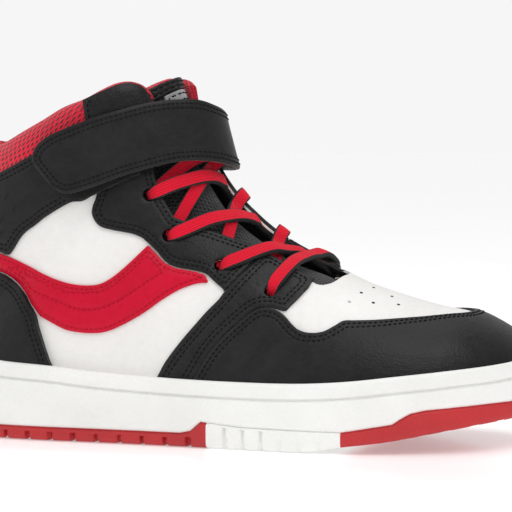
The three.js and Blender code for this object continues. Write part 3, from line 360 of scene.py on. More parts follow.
def stitches(name, P, T, D, N, levels, mat, pitch=1.8, length=1.25, r=0.25, zmin=20.0, skip=None, lift=0.12):
    """Thread stitches that lie along lines of equal distance from the edge."""
    ring = 6
    ang = np.arange(ring) * 2 * np.pi / ring
    prof = [(-0.5, 0.35), (-0.36, 0.9), (0.0, 1.05), (0.36, 0.9), (0.5, 0.35)]
    V, F = [], []
    for level in levels:
        for ch in contour(P, T, D, level):
            # smooth the chain, then walk it
            c = ch.copy()
            for _ in range(3):
                c[1:-1] = (c[:-2] + 2 * c[1:-1] + c[2:]) / 4
            s = np.concatenate([[0], np.cumsum(np.linalg.norm(np.diff(c, axis=0), axis=1))])
            if s[-1] < 6:
                continue
            pts = np.arange(pitch / 2, s[-1], pitch)
            C = np.stack([np.interp(pts, s, c[:, k]) for k in range(3)], 1)
            Tn = unit(np.stack([np.interp(pts + 0.6, s, c[:, k]) - np.interp(pts - 0.6, s, c[:, k]) for k in range(3)], 1))
            for p, t in zip(C, Tn):
                if p[2] < zmin or (skip is not None and skip(p)):
                    continue
                q = np.argmin(((P - p) ** 2).sum(1))
                n = N[q]
                b = unit(np.cross(n, t))
                base = len(V)
                for a, w in prof:
                    for g in ang:
                        V.append(p + n * (lift + (-0.22 if abs(a) > 0.4 else 0.0)) + t * a * length + (b * math.cos(g) + n * math.sin(g)) * r * w)
                for m in range(len(prof) - 1):
                    for g in range(ring):
                        F.append((base + m * ring + g, base + m * ring + (g + 1) % ring, base + (m + 1) * ring + (g + 1) % ring, base + (m + 1) * ring + g))
                F.append(tuple(base + g for g in range(ring))[::-1])
                F.append(tuple(base + (len(prof) - 1) * ring + g for g in range(ring)))
    if not V:
        return None
    return mesh(name, V, F, mat)


def panel(name, nodes, mat, spec, field, d0, d1, body="shoe", rows=(), thread=None, puff=0.0, groove=0.24, edge=0.45, skip=None, zmin=20.0, bumps=None, holes=(), hr=2.6, inner_rows=None, back=None):
    A, tri, P0 = grid(**spec)
    f = field(P0, A)
    for h in holes:
        f = np.minimum(f, np.linalg.norm(P0 - h, axis=1) - hr)
    A, T = cut(A, tri, f)
    P = surf(A[:, 0], A[:, 1], A[:, 2])
    N = normal(A[:, 0], A[:, 1], A[:, 2])
    E = boundary(T)
    bp = P[np.unique(E)]
    if len(holes):
        hd = near(bp, np.array(holes))
        bp2 = bp[hd > hr + 0.7]
    else:
        bp2 = bp
    D = near(P, bp)
    Ds = near(P, bp2) if len(holes) else D
    d = d1 - 0.28 * (1 - ss(0, edge, D)) + puff * (1 - np.exp(-D / 2.2)) * ss(0, 1.2, D)
    for lv in rows:
        d = d - groove * np.exp(-((Ds - lv) / 0.42) ** 2)
    if bumps is not None:
        d = d + bumps(P, A, Ds)
    Q = P + N * d[:, None]
    # the edge goes down to the layer under it
    be = np.unique(E)
    mp = {int(v): len(Q) + i for i, v in enumerate(be)}
    low = P[be] + N[be] * (d0 - 0.35)
    # faces wound so that they look outwards
    n0 = np.cross(Q[T[:, 1]] - Q[T[:, 0]], Q[T[:, 2]] - Q[T[:, 0]])
    flip = (n0 * N[T[:, 0]]).sum(1) < 0
    T = T.copy()
    T[flip] = T[flip][:, ::-1]
    E = boundary(T)
    skirt = [(int(b), int(a), mp[int(a)], mp[int(b)]) for a, b in E]
    uv = np.concatenate([A[:, 3:5], A[be, 3:5]])
    pts, faces, mats, mi = np.concatenate([Q, low]), T.tolist() + skirt, [mat], None
    if back is not None:  # a closed shell whose inner side is the lining cloth
        pts = np.concatenate([Q, P + N * d0])
        uv = np.concatenate([A[:, 3:5], A[:, 3:5]])
        k = len(Q)
        faces = T.tolist() + (T[:, ::-1] + k).tolist() + [(int(b), int(a), int(a) + k, int(b) + k) for a, b in E]
        mats, mi = [mat, back], [0] * len(T) + [1] * len(T) + [0] * len(E)
    o = mesh(name, pts, faces, mats, uv=uv, sharp=50)
    if mi:
        o.data.polygons.foreach_set("material_index", mi)
    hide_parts(*nodes)
    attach(o, body)
    if rows and thread is not None:
        s = stitches(name + "_thread", Q, T, Ds, N, inner_rows or rows, thread, skip=skip, zmin=zmin)
        if s:
            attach(s, body)
    return o, Q, T, Ds, N

# ---------------------------------------------------------------- materials
class Mat:
    def __init__(self, name):
        self.m = bpy.data.materials.new(name)
        self.m.use_nodes = True
        self.t = self.m.node_tree
        self.b = self.t.nodes["Principled BSDF"]
        self.co = self.t.nodes.new("ShaderNodeTexCoord")

    def n(self, kind, **kw):
        x = self.t.nodes.new(kind)
        for k, v in kw.items():
            setattr(x, k, v)
        return x

    def link(self, a, b):
        self.t.links.new(a, b)

    def set(self, **kw):
        for k, v in kw.items():
            self.b.inputs[k.replace("_", " ")].default_value = v

    def noise(self, scale, detail=3.0, rough=0.55, src="Object", stretch=None):
        x = self.n("ShaderNodeTexNoise")
        x.inputs["Scale"].default_value = scale
        x.inputs["Detail"].default_value = detail
        x.inputs["Roughness"].default_value = rough
        c = self.co.outputs[src]
        if stretch:
            mp = self.n("ShaderNodeMapping")
            mp.inputs["Scale"].default_value = stretch
            self.link(c, mp.inputs["Vector"])
            c = mp.outputs["Vector"]
        self.link(c, x.inputs["Vector"])
        return x.outputs["Fac"]

    def voronoi(self, scale, feature="F1", src="Object"):
        x = self.n("ShaderNodeTexVoronoi", feature=feature)
        x.inputs["Scale"].default_value = scale
        self.link(self.co.outputs[src], x.inputs["Vector"])
        return x.outputs["Distance"]

    def math(self, op, a, b=0.0, clamp=False):
        x = self.n("ShaderNodeMath", operation=op, use_clamp=clamp)
        for i, v in enumerate((a, b)):
            if isinstance(v, (int, float)):
                x.inputs[i].default_value = v
            else:
                self.link(v, x.inputs[i])
        return x.outputs[0]

    def range(self, v, a, b, c, d):
        x = self.n("ShaderNodeMapRange")
        for i, q in zip(("From Min", "From Max", "To Min", "To Max"), (a, b, c, d)):
            x.inputs[i].default_value = q
        self.link(v, x.inputs["Value"])
        return x.outputs["Result"]

    def mix(self, f, a, b):
        x = self.n("ShaderNodeMix", data_type="RGBA")
        if isinstance(f, (int, float)):
            x.inputs[0].default_value = f
        else:
            self.link(f, x.inputs[0])
        for i, v in ((6, a), (7, b)):
            if isinstance(v, tuple):
                x.inputs[i].default_value = (*v, 1)
            else:
                self.link(v, x.inputs[i])
        return x.outputs[2]

    def bump(self, h, strength, dist, prev=None):
        x = self.n("ShaderNodeBump")
        x.inputs["Strength"].default_value = strength
        x.inputs["Distance"].default_value = dist
        self.link(h, x.inputs["Height"])
        if prev is not None:
            self.link(prev, x.inputs["Normal"])
        return x.outputs["Normal"]

    def done(self, colour=None, rough=None, normal=None):
        if colour is not None:
            self.link(colour, self.b.inputs["Base Color"])
        if rough is not None:
            self.link(rough, self.b.inputs["Roughness"])
        if normal is not None:
            self.link(normal, self.b.inputs["Normal"])
        return self.m


def leather(name, lo, hi, r0, r1, grain=1.0, crease=0.0, spec=0.5):
    m = Mat(name)
    big, mid, fine = m.noise(38, 4), m.noise(420, 3), m.voronoi(1500 / grain)
    colour = m.mix(m.range(m.math("ADD", m.math("MULTIPLY", big, 0.6), m.math("MULTIPLY", mid, 0.4)), 0.35, 0.65, 0, 1), lo, hi)
    n1 = m.bump(fine, 0.35, 0.00018)
    n2 = m.bump(mid, 0.3, 0.0004, n1)
    n3 = m.bump(m.noise(70, 5, 0.6, stretch=(1.0, 1.0, 2.2)), 0.25 + crease, 0.0012, n2)
    m.set(Specular_IOR_Level=spec)
    return m.done(colour, m.range(m.math("ADD", m.math("MULTIPLY", big, 0.5), m.math("MULTIPLY", mid, 0.5)), 0.35, 0.65, r0, r1), n3)


def hexmesh(name, lo, hi, hole, pitch=2.1, size=0.3):
    """Knitted mesh with rows of round openings, in the piece's own flat coordinates in mm."""
    m = Mat(name)
    sep = m.n("ShaderNodeSeparateXYZ")
    m.link(m.co.outputs["UV"], sep.inputs[0])
    u, v = m.math("DIVIDE", sep.outputs[0], pitch), m.math("DIVIDE", sep.outputs[1], pitch * 0.866)
    row = m.math("FLOOR", v)
    u2 = m.math("ADD", u, m.math("MULTIPLY", m.math("MODULO", m.math("ABSOLUTE", row), 2.0), 0.5))
    fu = m.math("SUBTRACT", m.math("FRACT", u2), 0.5)
    fv = m.math("MULTIPLY", m.math("SUBTRACT", m.math("FRACT", v), 0.5), 0.866)
    r = m.math("SQRT", m.math("ADD", m.math("MULTIPLY", fu, fu), m.math("MULTIPLY", fv, fv)))
    solid = m.range(r, size - 0.07, size + 0.07, 0, 1)
    x = m.n("ShaderNodeTexWave", wave_type="BANDS", bands_direction="DIAGONAL")
    x.inputs["Scale"].default_value = 1.6
    m.link(m.co.outputs["UV"], x.inputs["Vector"])
    yarn = m.math("MULTIPLY", x.outputs["Fac"], 1.0)
    var = m.noise(60, 4)
    cloth = m.mix(m.range(m.math("ADD", m.math("MULTIPLY", yarn, 0.5), m.math("MULTIPLY", var, 0.5)), 0.2, 0.8, 0, 1), lo, hi)
    # the openings take the hole colour: partly the backing seen through them, partly painted shade in the recess
    colour = m.mix(solid, hole, cloth)
    n1 = m.bump(solid, 0.8, 0.0005)
    n2 = m.bump(yarn, 0.35, 0.00015, n1)
    m.set(Sheen_Weight=0.3, Sheen_Roughness=0.5, Specular_IOR_Level=0.3)
    return m.done(colour, m.range(var, 0.3, 0.7, 0.7, 0.92), n2)


def rubber(name, lo, hi, r0, r1, speck=0.3):
    m = Mat(name)
    big, fine = m.noise(30, 4), m.noise(1500, 2)
    f = m.math("ADD", m.math("MULTIPLY", big, 1 - speck), m.math("MULTIPLY", fine, speck))
    n1 = m.bump(fine, 0.25, 0.0001)
    n2 = m.bump(m.noise(120, 3), 0.12, 0.0006, n1)
    return m.done(m.mix(m.range(f, 0.35, 0.65, 0, 1), lo, hi), m.range(big, 0.3, 0.7, r0, r1), n2)


def cloth(name, lo, hi, weave=1100, r=(0.8, 0.95)):
    m = Mat(name)
    w = m.n("ShaderNodeTexWave", wave_type="BANDS", bands_direction="Z")
    w.inputs["Scale"].default_value = weave
    w.inputs["Distortion"].default_value = 1.0
    m.link(m.co.outputs["Object"], w.inputs["Vector"])
    w2 = m.n("ShaderNodeTexWave", wave_type="BANDS", bands_direction="X")
    w2.inputs["Scale"].default_value = weave
    m.link(m.co.outputs["Object"], w2.inputs["Vector"])
    f = m.math("MULTIPLY", w.outputs["Fac"], w2.outputs["Fac"])
    var = m.noise(90, 4)
    m.set(Sheen_Weight=0.0 if weave > 2000 else 0.15, Specular_IOR_Level=0.15 if weave > 2000 else 0.25)
    return m.done(m.mix(m.range(m.math("ADD", m.math("MULTIPLY", f, 0.5), m.math("MULTIPLY", var, 0.5)), 0.2, 0.8, 0, 1), lo, hi), m.range(var, 0.3, 0.7, *r), m.bump(f, 0.4, 0.0002))


def webbing(name, lo, hi, rib=0.85, black=False):
    """Ribbed elastic: u runs along the lace and v across it, in mm."""
    m = Mat(name)
    sep = m.n("ShaderNodeSeparateXYZ")
    m.link(m.co.outputs["UV"], sep.inputs[0])
    a = m.math("SINE", m.math("MULTIPLY", m.math("ADD", sep.outputs[0], m.math("MULTIPLY", sep.outputs[1], 0.9)), 6.283 / rib))
    b = m.math("SINE", m.math("MULTIPLY", sep.outputs[1], 6.283 / 0.95))
    f = m.range(a, -1, 1, 0, 1)
    ribs = m.range(b, -1, 1, 0, 1)
    h = m.math("ADD", m.math("MULTIPLY", f, 0.75), m.math("MULTIPLY", ribs, 0.25))
    var = m.noise(150, 3)
    m.set(Sheen_Weight=0.05, Specular_IOR_Level=0.2)
    return m.done(m.mix(m.range(m.math("ADD", m.math("MULTIPLY", h, 0.75), m.math("MULTIPLY", var, 0.25)), 0.15, 0.85, 0, 1), lo, hi), m.range(var, 0.3, 0.7, 0.7, 0.9), m.bump(h, 0.6, 0.0003))


BLACK = leather("black_leather", (0.005, 0.005, 0.0055), (0.012, 0.012, 0.013), 0.32, 0.46, 1.0, 0.08, 0.24)
BLACK_SOFT = leather("black_leather_creased", (0.005, 0.005, 0.0055), (0.013, 0.013, 0.014), 0.32, 0.46, 1.3, 0.6, 0.26)
WHITE = leather("white_leather", (0.78, 0.768, 0.742), (0.83, 0.82, 0.80), 0.4, 0.54, 0.9, 0.0)
CRIMSON = leather("crimson_leather", (0.50, 0.0, 0.02), (0.60, 0.0, 0.028), 0.38, 0.5, 1.0, 0.04, 0.2)
# the third colour of each mesh is its openings' colour, partly the backing behind and partly painted shade
RED_MESH = hexmesh("red_mesh", (0.56, 0.001, 0.018), (0.80, 0.004, 0.035), (0.15, 0.0, 0.012), 2.15, 0.27)
BLACK_MESH = hexmesh("black_mesh", (0.012, 0.012, 0.013), (0.032, 0.032, 0.034), (0.002, 0.002, 0.002), 1.7, 0.28)
RUBBER_WHITE = rubber("white_rubber", (0.76, 0.76, 0.73), (0.85, 0.85, 0.83), 0.42, 0.55)
RUBBER_RED = rubber("red_rubber", (0.38, 0.008, 0.012), (0.52, 0.016, 0.02), 0.42, 0.58)
THREAD_BLACK = cloth("thread_black", (0.004, 0.004, 0.004), (0.014, 0.014, 0.014), 2600, (0.55, 0.75))
THREAD_RED = cloth("thread_red", (0.42, 0.002, 0.014), (0.7, 0.01, 0.045), 2600, (0.55, 0.75))
THREAD_WHITE = cloth("thread_white", (0.62, 0.6, 0.57), (0.8, 0.78, 0.75), 2600, (0.6, 0.8))
LACE_RED = webbing("lace_red", (0.50, 0.002, 0.012), (0.86, 0.008, 0.04))
LACE_BLACK = webbing("lace_black", (0.006, 0.006, 0.006), (0.04, 0.04, 0.042))
LINING = cloth("lining_fabric", (0.30, 0.002, 0.012), (0.46, 0.004, 0.022))
LINER = cloth("liner_fabric", (0.02, 0.02, 0.02), (0.06, 0.06, 0.06))
BOARD = cloth("fibre_board", (0.42, 0.32, 0.2), (0.55, 0.43, 0.28))
FOAM = rubber("foam", (0.55, 0.47, 0.3), (0.7, 0.6, 0.4), 0.85, 0.95, 0.6)
LOOP = cloth("loop_pile", (0.004, 0.004, 0.004), (0.03, 0.03, 0.03), 700, (0.9, 1.0))
EDGE = leather("cut_edge", (0.05, 0.042, 0.038), (0.11, 0.095, 0.085), 0.6, 0.8, 0.6)
LABEL = cloth("label_band", (0.30, 0.30, 0.31), (0.45, 0.45, 0.46), 1600, (0.6, 0.75))

for node, m in dict(midsole_foam=FOAM, insole_board=BOARD, sock_liner=LINER, vamp_lining=LINING, quarter_lining=LINING, heel_stiffener=BOARD,
                    toe_puff=BOARD, collar_foam=FOAM, tongue_foam=FOAM, strap_hook_patch=LOOP).items():
    o = bpy.data.objects.get(node)
    if o:
        o.data.materials.clear()
        o.data.materials.append(m)

# ---------------------------------------------------------------- outlines
shift = lambda pts, dx, dz=0: [[p[0] + dx, p[1] + dz] for p in pts]
XZ = lambda P: (P[:, 0], P[:, 2])
sm = smooth_line


def inside(poly):
    return lambda P, A: poly_field(poly, *XZ(P))


def both_of(*fs):
    return lambda P, A: np.minimum.reduce([f(P, A) for f in fs])


def minus(poly, g=0.0):
    return lambda P, A: -poly_field(poly, *XZ(P)) - g


def above_edge(P, A):
    e = edge_of(A[:, 0], A[:, 2])
    return (A[:, 1] - e) * 60 + 0.02


EYE_PTS = {s: [surf(*e, s) for e in (EYELETS_L if s < 0 else EYELETS_M)] for s in (-1, 1)}
throat = np.array(sm(THROAT_PLAN, True, 4))
vamp_zone = [[-2, 5], [125, 5], [125, 90], [12, 90], [11, 62], [7, 50], [2, 30]]
below_split = [[-125, 0], [125, 0], [125, 60], [60, 106.7]] + shift(sm(COLLAR_SPLIT), 0, 0.6)[::-1]

NAMES = {-1: "lateral", 1: "medial"}
# white leather under everything
def vamp_field(P, A):
    f = poly_field(vamp_zone, *XZ(P))
    g = poly_field(throat.tolist(), P[:, 0], P[:, 1])
    g = np.where(P[:, 2] > 30, g, -50.0)
    f = np.minimum(f, -g)
    return np.where(A[:, 0] > 8.5, np.minimum(f, (A[:, 1] - edge_of(A[:, 0], A[:, 2])) * 60 - 0.05), f)


panel("vamp", ["vamp"], WHITE, dict(side=0, u0=0, u1=13.2, kind="toe"), vamp_field, -1.0, 0.0, edge=0.8, back=LINER, holes=EYE_PTS[-1] + EYE_PTS[1],
      bumps=lambda P, A, D: 0.10 * np.sin(P[:, 0] * 0.9 + P[:, 1] * 0.25) * ss(8, 14, P[:, 0]) * (1 - ss(38, 48, P[:, 0])))
for s in (-1, 1):
    n = NAMES[s]
    holes = EYE_PTS[s]
    panel("quarter_" + n, ["quarter_" + n], WHITE, dict(side=s, u0=8.9, u1=22), both_of(inside(below_split), minus(vamp_zone, 0.1)), -1.0, 0.0, edge=0.6, holes=holes, back=LINER)
    # overlays
    stripe = sm(STRIPE_TOP[1:]) + [[-24.5, 64.5], [-21.2, 61.3], [-17.4, 59.6], [-10.4, 58.4], [-6.9, 57.4]] + sm(STRIPE_BOT) + shift(sm(COUNTER[6:]), 0.4, 0.5)
    mid_line = np.array(sm([[-110, 59], [-90, 57.5], [-82, 56], [-75.1, 53.9], [-68.4, 51.4], [-61.8, 49.1], [-55.6, 46.7], [-49.5, 45.3], [-43.5, 45.7], [-37.6, 47.9], [-31.8, 51.4], [-26.2, 55.4], [-20.7, 59.0]]))

    def ridge(P, A, D):
        d = near(np.stack([P[:, 0], P[:, 2]], 1), mid_line)
        return -0.35 * np.exp(-(d / 0.8) ** 2)

    o, Q, T, D, N = panel("side_stripe_" + n, ["side_stripe_" + n], CRIMSON, dict(side=s, u0=9, u1=21), inside(stripe), 0.3, 1.1, rows=(1.3,), thread=THREAD_RED, puff=0.75, edge=0.6, bumps=ridge)
    dm = near(np.stack([Q[:, 0], Q[:, 2]], 1), mid_line)
    side_of = np.sign(poly_field(mid_line.tolist() + [[-20.7, 120], [-110, 120]], Q[:, 0], Q[:, 2]))
    t = stitches("side_stripe_mid_thread_" + n, Q, T, np.where(D > 2.5, dm * side_of + 5, 0.0), N, (5.0,), THREAD_RED)
    if t:
        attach(t, "shoe")
    ankle = sm(ANKLE_LOW) + sm(ANKLE_TOP)
    panel("ankle_panel_" + n, ["ankle_panel_" + n], BLACK, dict(side=s, u0=12, u1=23), inside(ankle), 0.3, 1.2, rows=(1.4, 2.9), thread=THREAD_BLACK, puff=0.2)
    eye = [[-46.1, 104.2]] + sm(EYE) + shift(sm(SADDLE_L[7:]), -0.35, 0.1) + [[30, 90], [10, 104.2]]
    panel("eyestay_" + n, ["eyestay_" + n], BLACK, dict(side=s, u0=8.9, u1=19), inside(eye), 0.3, 1.2, rows=(1.4, 2.9), thread=THREAD_BLACK, puff=0.2, holes=holes, hr=2.3)
    saddle = sm(SADDLE_L) + [[40, 74], [31, 58.5], [29.2, 55.5], [28.7, 53.4], [26.3, 50.3], [22.9, 46], [20.9, 46.4]] + sm([[17.8, 47.1], [14.3, 47.2], [11, 45.8], [6.3, 41.7], [1.7, 37.3], [-2.7, 32.2], [-7.1, 24.9], [-10, 19.9]]) + [[-12, 10], [-26, 10]]
    panel("saddle_" + n, ["saddle_" + n], BLACK_SOFT, dict(side=s, u0=8.7, u1=14), inside(saddle), 0.3, 1.2, rows=(1.9, 3.4), thread=THREAD_BLACK, puff=0.2, holes=holes, hr=2.3,
          bumps=lambda P, A, D: 0.16 * np.sin(P[:, 2] * 0.55 + P[:, 0] * 0.25 + 1.3 * np.sin(P[:, 0] * 0.17)) * (1 - ss(44, 56, P[:, 2])) * ss(1, 4, D))
    if s < 0:
        pad = [[-46, 104], [-50.2, 110.6]] + sm([[-51.2, 117.0], [-45.5, 119.8], [-40.3, 122.2], [-36.2, 122.8], [-33.2, 121.8], [-31.2, 119.5], [-29.4, 116.2], [-27.6, 112]]) + [[-20, 104]]
    else:
        pad = [[-46, 104], [-50.2, 110.6]] + sm([[-49.4, 113.6], [-42, 116.4], [-35, 118.6], [-29, 120.0], [-25.5, 120.2], [-23.0, 118.6], [-21.4, 116], [-19, 112]]) + [[-14, 104]]
    p = panel("collar_pad_" + n, ["collar_pad_" + n], BLACK, dict(side=s, u0=15, u1=23), inside(pad), 0.3, 1.4, rows=(1.4,), thread=THREAD_BLACK, puff=1.3, groove=0.05, skip=lambda p: p[0] > -47.5, edge=1.0)

toe = sm(TOECAP) + [[125, 60], [125, 5], [-12, 5]]
panel("toe_cap", ["toe_cap"], BLACK, dict(side=0, u0=0, u1=12.5, kind="toe"), inside(toe), 0.3, 1.2, rows=(1.5, 3.0), thread=THREAD_BLACK, puff=0.2,
      bumps=lambda P, A, D: 0.12 * np.sin(P[:, 0] * 0.5 - P[:, 2] * 0.35) * (1 - ss(20, 42, P[:, 0])) * ss(1, 4, D))
counter = sm(COUNTER) + [[-125, 5], [-59, 5]]
panel("heel_counter", ["heel_counter"], BLACK, dict(side=0, u0=12, u1=21.5, kind="heel"), both_of(inside(counter), lambda P, A: P[:, 2] - 16.0), 0.3, 2.4, rows=(1.6, 3.1), thread=THREAD_BLACK, puff=0.2)
back = [[-125, 58], [-90, 58], [-90, 99], [-125, 99]]
panel("heel_backstay", ["heel_backstay"], BLACK, dict(side=0, u0=17, u1=23, du=0.06, nt=120, kind="heel"), both_of(inside(back), lambda P, A: 8.0 - np.abs(P[:, 1])), 1.5, 2.8, rows=(1.4,), thread=THREAD_BLACK)
loop = sm([[-58.6, 84.2], [-55.4, 82.6], [-50.9, 82.9], [-46.5, 84.6], [-39.9, 87.6], [-31.7, 91.4]]) + [[-30, 104], [-47, 103], [-62, 97]]
panel("strap_loop_patch", ["strap_loop_patch"], LOOP, dict(side=-1, u0=13, u1=22), inside(loop), 1.0, 2.2,
      bumps=lambda P, A, D: 0.35 * np.sin(P[:, 0] * 5.1 + 2 * np.sin(P[:, 2] * 3.3)) * np.sin(P[:, 2] * 4.7 + P[:, 0]) * 0.6)

# ---------------------------------------------------------------- small holes: perforations in the vamp, slits in the ankle panels, drawn as near-black discs of painted shade
def spots(name, where, size, side, depth, mat, angle=0.0):
    V, F = [], []
    A, tri, P = grid(side, 0 if side == -1 and name == "vamp_perforations" else 9, 23, du=0.15, nt=80)
    N = normal(A[:, 0], A[:, 1], A[:, 2])
    for w in where:
        q = np.argmin(np.hypot(P[:, 0] - w[0], P[:, 2] - w[1]))
        p, nn = P[q], N[q]
        up = unit(np.array([0, 0, 1.0]) - nn * nn[2])
        ri = unit(np.cross(up, nn))
        a = w[2] if len(w) > 2 else angle
        l, t = ri * math.cos(a) + up * math.sin(a), up * math.cos(a) - ri * math.sin(a)
        b = len(V)
        for rr, dd in ((1.18, 0.0), (1.0, 0.10), (0.82, 0.06), (0.5, -0.0)):
            for k in range(16):
                g = k * math.pi / 8
                V.append(p + nn * (depth + dd) + l * math.cos(g) * size[0] * rr + t * math.sin(g) * size[1] * rr)
        for m in range(3):
            for k in range(16):
                F.append((b + m * 16 + k, b + m * 16 + (k + 1) % 16, b + (m + 1) * 16 + (k + 1) % 16, b + (m + 1) * 16 + k))
        F.append(tuple(b + 48 + k for k in range(16)))
    o = mesh(name, V, F, mat)
    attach(o, "shoe")
    return o


# painted shade: near-black discs stand in for the shade seen inside the perforations and slits; no holes are cut in the
# panels
HOLE_SHADE = cloth("hole_painted_shade", (0.004, 0.004, 0.004), (0.012, 0.012, 0.012), 2000, (0.9, 1.0))
perf = [[43.1, 49.0], [45.8, 51.8], [47.5, 52.9], [50.7, 48.6], [53.4, 50.4], [58.6, 47.9]]
for s in (-1, 1):
    spots("vamp_perforations" + ("" if s < 0 else "_medial"), perf, (0.5, 0.5), s, 0.0, HOLE_SHADE)
    slits = []
    for k in range(3):
        for (x0, z0), (x1, z1) in (((-79.4, 85.2), (-78.2, 82.7)), ((-77.2, 80.4), (-75.7, 77.7)), ((-81, 76.7), (-79.3, 74.1)), ((-82.1, 71.3), (-81.3, 68.9))):
            slits.append([(x0 + x1) / 2 - 7.5 * k, (z0 + z1) / 2 + 0.3 * k, math.pi / 2 + s * 0.45])
    spots("ankle_slits_" + NAMES[s], slits, (1.35, 0.4), s, 1.4, HOLE_SHADE)

# ---------------------------------------------------------------- padded mesh collar, rolled over its top edge
COLLAR_ROWS = 46
for s in (-1, 1):
    top = np.array(sm(TOPLINE if s < 0 else TOPLINE_M))
    split = np.array(sm(COLLAR_SPLIT))
    nt = 120
    F = np.linspace(0, 1, nt)
    us = np.linspace(12.5, 22.9, 260)
    cols = []
    for f in F:
        sd = np.full(us.shape, float(s))
        e = edge_of(us, sd)
        th = e + (1 - e) * f
        P = surf(us, th, sd)
        gap = P[:, 2] - np.interp(P[:, 0], top[:, 0], top[:, 1])
        i = np.argmax(gap > 0) if (gap > 0).any() else len(us) - 1
        ut = us[i] if i == 0 else us[i - 1] + (us[i] - us[i - 1]) * (-gap[i - 1]) / (gap[i] - gap[i - 1] + 1e-9)
        gap2 = P[:, 2] - np.interp(P[:, 0], split[:, 0], split[:, 1])
        j = np.argmax(gap2 > -2.5) if (gap2 > -2.5).any() else 0
        cols.append((f, ut, us[j]))
    fs = np.array([c[0] for c in cols])
    ut = np.array([c[1] for c in cols])
    ulow = np.minimum(np.array([c[2] for c in cols]), ut - 0.3)
    for _ in range(4):
        ut[1:-1] = (ut[:-2] + 2 * ut[1:-1] + ut[2:]) / 4
    thick = 2.6 + 5.6 * ss(0.03, 0.3, fs)  # from the outer face to the inner one at the top
    R = thick / 2
    rows = []
    for k in range(COLLAR_ROWS):
        t = k / (COLLAR_ROWS - 1)
        if t < 0.36:
            a = t / 0.36
            u = ulow + (ut - R / 5.2 - ulow) * a
            d = 0.0 + 0.9 * ss(0.5, 1.0, a) * ss(0.03, 0.2, fs)
        elif t < 0.64:
            a = (t - 0.36) / 0.28 * math.pi
            u = ut - R / 5.2 + R / 5.2 * math.sin(a)
            d = 0.9 * ss(0.03, 0.2, fs) - R * (1 - math.cos(a))
        else:
            a = (t - 0.64) / 0.36
            low = np.maximum(16.3 + 0 * ut, ut - 9.5)
            u = (ut - R / 5.2) * (1 - a) + np.minimum(low, ut - 1.0) * a
            d = 0.9 * ss(0.03, 0.2, fs) - thick + 2.6 * ss(0.45, 1.0, a) * ss(0.03, 0.3, fs)
        sd = np.full(fs.shape, float(s))
        e = edge_of(u, sd)
        th = e + (1 - e) * fs
        P = at(u, th, sd, d)
        rows.append(P)
    G = np.array(rows)
    # the middle plane at the heel is shared by both halves
    G[:, -1, 1] = 0.0
    Pv = G.reshape(-1, 3)
    i, j = np.meshgrid(np.arange(COLLAR_ROWS - 1), np.arange(nt - 1), indexing="ij")
    a = (i * nt + j).ravel()
    quads = np.stack([a, a + 1, a + nt + 1, a + nt], 1)
    if s > 0:
        quads = quads[:, ::-1]
    U = np.concatenate([np.zeros((COLLAR_ROWS, 1)), np.cumsum(np.linalg.norm(np.diff(G, axis=1), axis=2), 1)], 1)
    U = U - U[:, -1:]
    Vv = np.concatenate([np.zeros((1, nt)), np.cumsum(np.linalg.norm(np.diff(G, axis=0), axis=2), 0)], 0)
    Vv = Vv - Vv[-1:] * 0
    # front end: the outer and the inner sheet are joined
    nside = COLLAR_ROWS // 2
    endf = [(k * nt, (k + 1) * nt, (COLLAR_ROWS - 2 - k) * nt, (COLLAR_ROWS - 1 - k) * nt) for k in range(nside - 1)]
    if s < 0:
        endf = [f[::-1] for f in endf]
    o = mesh("collar_mesh_" + NAMES[s], Pv, quads.tolist() + endf, RED_MESH, uv=np.stack([U, Vv], -1).reshape(-1, 2), sharp=70)
    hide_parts("collar_mesh", "collar_foam")
    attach(o, "shoe")

# ---------------------------------------------------------------- tongue
def tongue_out(u, th):
    return -4.0 + 3.0 * ss(16.5, 18.5, u) * (1 - ss(0.03, 0.1, th)) - 4.2 * ss(13.4, 15.6, u) * ss(0.13, 0.31, th)


def tongue_point(u, f, d):
    u, f, d = np.broadcast_arrays(*[np.asarray(v, float) for v in (u, f, d)])
    w = (0.40 + 0.10 * ss(8, 11, u)) * (1 - 0.3 * ss(15, 19, u))
    th = np.abs(f) * w
    s = np.where(f < 0, -1.0, 1.0)
    q = spline(ST, u)
    p = surf(u, th, np.full(u.shape, -1.0))
    p[..., 1] = s * np.abs(p[..., 1] - q[..., 8]) + q[..., 8]
    n = normal(u, th, np.full(u.shape, -1.0))
    n = np.stack([n[..., 0], s * np.abs(n[..., 1]), n[..., 2]], -1)
    m = side_normal(u, np.full(u.shape, 0.03), np.full(u.shape, -1.0))
    m = unit(np.stack([m[..., 0], 0 * m[..., 0], m[..., 2]], -1))
    k = (1 - ss(0.0, 0.03, th))[..., None]
    n = unit(m * k + n * (1 - k))
    return p + n * (tongue_out(u, th) + d)[..., None], n


def ring_rows(U, outer, inner, nf=61, ne=7):
    """Closed rings of (f, d) round a padded sheet, one for each u."""
    rows = []
    for k, u in enumerate(U):
        do, di = outer[k], inner[k]
        r = (do - di) / 2
        f1 = np.linspace(-1, 1, nf)
        f2 = np.linspace(1, -1, nf)
        fe = [(1 + 0.035 * math.sin(a) * min(1, r / 2), di + r + r * math.cos(a)) for a in np.linspace(0, math.pi, ne + 2)[1:-1]]
        F = np.concatenate([f1, [q[0] for q in fe], f2, [-q[0] for q in fe[::-1]]])
        D = np.concatenate([np.full(nf, do), [q[1] for q in fe], np.full(nf, di), [q[1] for q in fe[::-1]]])
        P, _ = tongue_point(np.full(F.shape, u), F, D)
        rows.append((P, F, D))
    return rows


